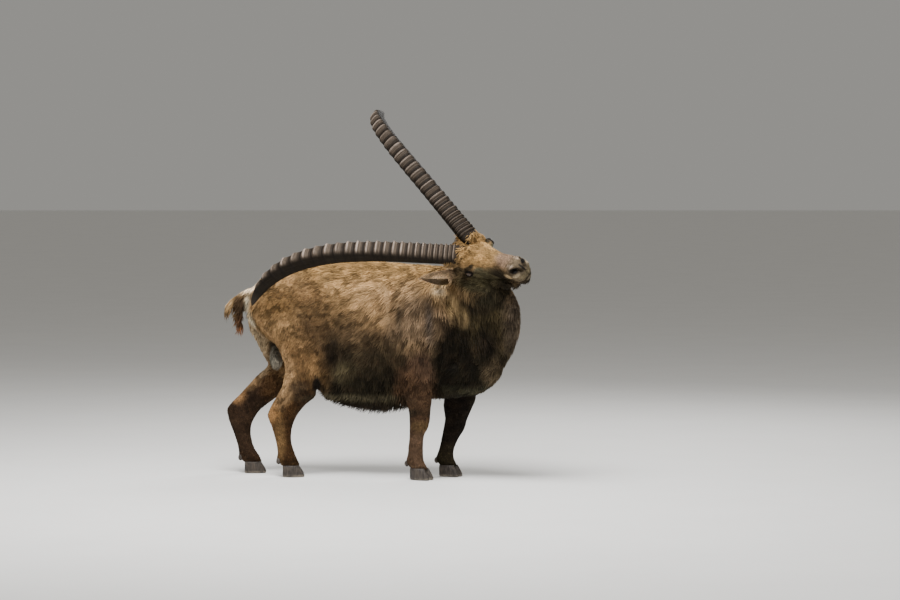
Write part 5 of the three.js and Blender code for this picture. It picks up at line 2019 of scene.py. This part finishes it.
def eye_finish():
    material, bench, shader = new_material("ibex eye", roughness=0.08, specular_ior_level=0.35)
    place = bench.vector("DIVIDE", object_place(bench), (MM, MM, MM))
    across, up, _ = bench.parts(place)
    flat = bench.joined(across, up)
    radius = bench.vector("LENGTH", flat)
    spokes = bench.noise(bench.joined(bench.number("ARCTAN2", up, across), 0.0), 14, 3)
    iris = bench.blend(spokes, IRIS_DARK, IRIS_AMBER)
    iris = bench.blend(bench.fade(radius, PUPIL_LONG, IRIS_RADIUS), iris, IRIS_RIM)
    slot = bench.vector("LENGTH", bench.vector("DIVIDE", flat, (PUPIL_LONG, PUPIL_HIGH, 1)))
    iris = bench.blend(bench.fade(slot, 0.88, 1.04, 1.0, 0.0), iris, PUPIL)
    white = bench.blend(bench.noise(place, 0.5, 3), WHITE_BROWN, WHITE_DARK)
    colour = bench.blend(bench.fade(radius, IRIS_RADIUS - 0.4, IRIS_RADIUS + 0.5), iris, white)
    link(bench, colour, shader["Base Color"])
    return material


EYE_FINISH = eye_finish()
for piece in eyes.values():
    dress(piece, EYE_FINISH)
print("eye material ready")

# %% [markdown]
# ## Hooves
#
# Hoof horn is dark slate, streaked from the coronet down, scuffed pale at the rim that meets
# the rock and dusty in between.

# %% Hoof material
SLATE, SLATE_PALE = (0.022, 0.018, 0.016), (0.070, 0.058, 0.048)
HOOF_DUST, HOOF_SCUFF = (0.110, 0.085, 0.062), (0.220, 0.190, 0.150)
SCUFF_LOW, SCUFF_HIGH = 0.002, 0.014


def hoof_finish():
    material, bench, shader = new_material("ibex hoof", roughness=0.55, specular_ior_level=0.2)
    place = object_place(bench)
    streaks = bench.noise(bench.stretch(place, (1, 1, 0.12)), 240, 4, 0.6)
    rings = bench.noise(bench.stretch(place, (0.1, 0.1, 1)), 330, 3, 0.5)
    dust = bench.noise(place, 45, 4, 0.6)
    colour = bench.blend(bench.fade(streaks, 0.35, 0.7), SLATE, SLATE_PALE)
    colour = bench.blend(bench.fade(dust, 0.45, 0.75, 0.0, 0.45), colour, HOOF_DUST)
    edge = bench.fade(bench.parts(place)[2], SCUFF_LOW, SCUFF_HIGH, 0.8, 0.0)
    colour = bench.blend(bench.product(edge, bench.fade(dust, 0.3, 0.6)), colour, HOOF_SCUFF)
    link(bench, colour, shader["Base Color"])
    link(bench, bench.fade(dust, 0.4, 0.7, 0.42, 0.75), shader["Roughness"])
    link(bench, bench.bump(bench.number("ADD", streaks, rings), 0.6, 0.0008), shader["Normal"])
    return material


HOOF_FINISH = hoof_finish()
for piece in hooves:
    dress(piece, HOOF_FINISH)
print("hoof material ready")

# %% [markdown]
# ## Floor and light
#
# A plain pale floor and soft light from large lamps show the form without drama. The key hangs
# high above the rump on the camera's side, which is where the daylight of the photograph comes
# from. A weak fill keeps the dark belly readable, and a rim light draws the outline of the back.

# %% Floor
FLOOR_HALF = 40.0
FLOOR_DARK, FLOOR_PALE = (0.79, 0.78, 0.755), (0.85, 0.84, 0.815)


def floor_finish():
    material, bench, shader = new_material("studio floor", roughness=0.8, specular_ior_level=0.2)
    grain = bench.noise(object_place(bench), 3, 5, 0.6)
    link(bench, bench.blend(grain, FLOOR_DARK, FLOOR_PALE), shader["Base Color"])
    return material


square = [(FLOOR_HALF * x, FLOOR_HALF * y, 0) for x, y in ((-1, -1), (1, -1), (1, 1), (-1, 1))]
floor = mesh_object("floor", [(square, [(0, 1, 2, 3)])])
dress(floor, floor_finish())
print("floor, metres across:", 2 * FLOOR_HALF)

# %% Lamps
LAMPS = [
    # name, place, aim, size, watts
    ("key", (-0.6, -1.7, 3.9), (0.0, 0.0, 0.6), 2.0, 340),
    ("fill", (2.6, -4.5, 1.8), (0.2, 0.0, 0.6), 3.0, 55),
    ("rim", (1.5, 2.6, 3.0), (0.1, 0.0, 0.8), 1.8, 70),
]
SKY_COLOUR, SKY_STRENGTH = (0.90, 0.88, 0.83), 0.34

for title, spot, aim, size, watts in LAMPS:
    lamp = bpy.data.lights.new(title, "AREA")
    lamp.size, lamp.energy = size, watts
    holder = bpy.data.objects.new(title, lamp)
    holder.location = spot
    holder.rotation_euler = (Vector(aim) - Vector(spot)).to_track_quat("-Z", "Y").to_euler()
    bpy.context.collection.objects.link(holder)

world = bpy.data.worlds.new("studio")
bpy.context.scene.world = world
world.use_nodes = True
sky = world.node_tree.nodes["Background"].inputs
sky[0].default_value, sky[1].default_value = (*SKY_COLOUR, 1), SKY_STRENGTH
print("lamps:", len(LAMPS))

# %% [markdown]
# ## Sizes
#
# The dressed model must not outgrow the solids, so the skin, the horns and the tufts were
# eased back into the box of the solids above.

# %% Finish
print("finished")
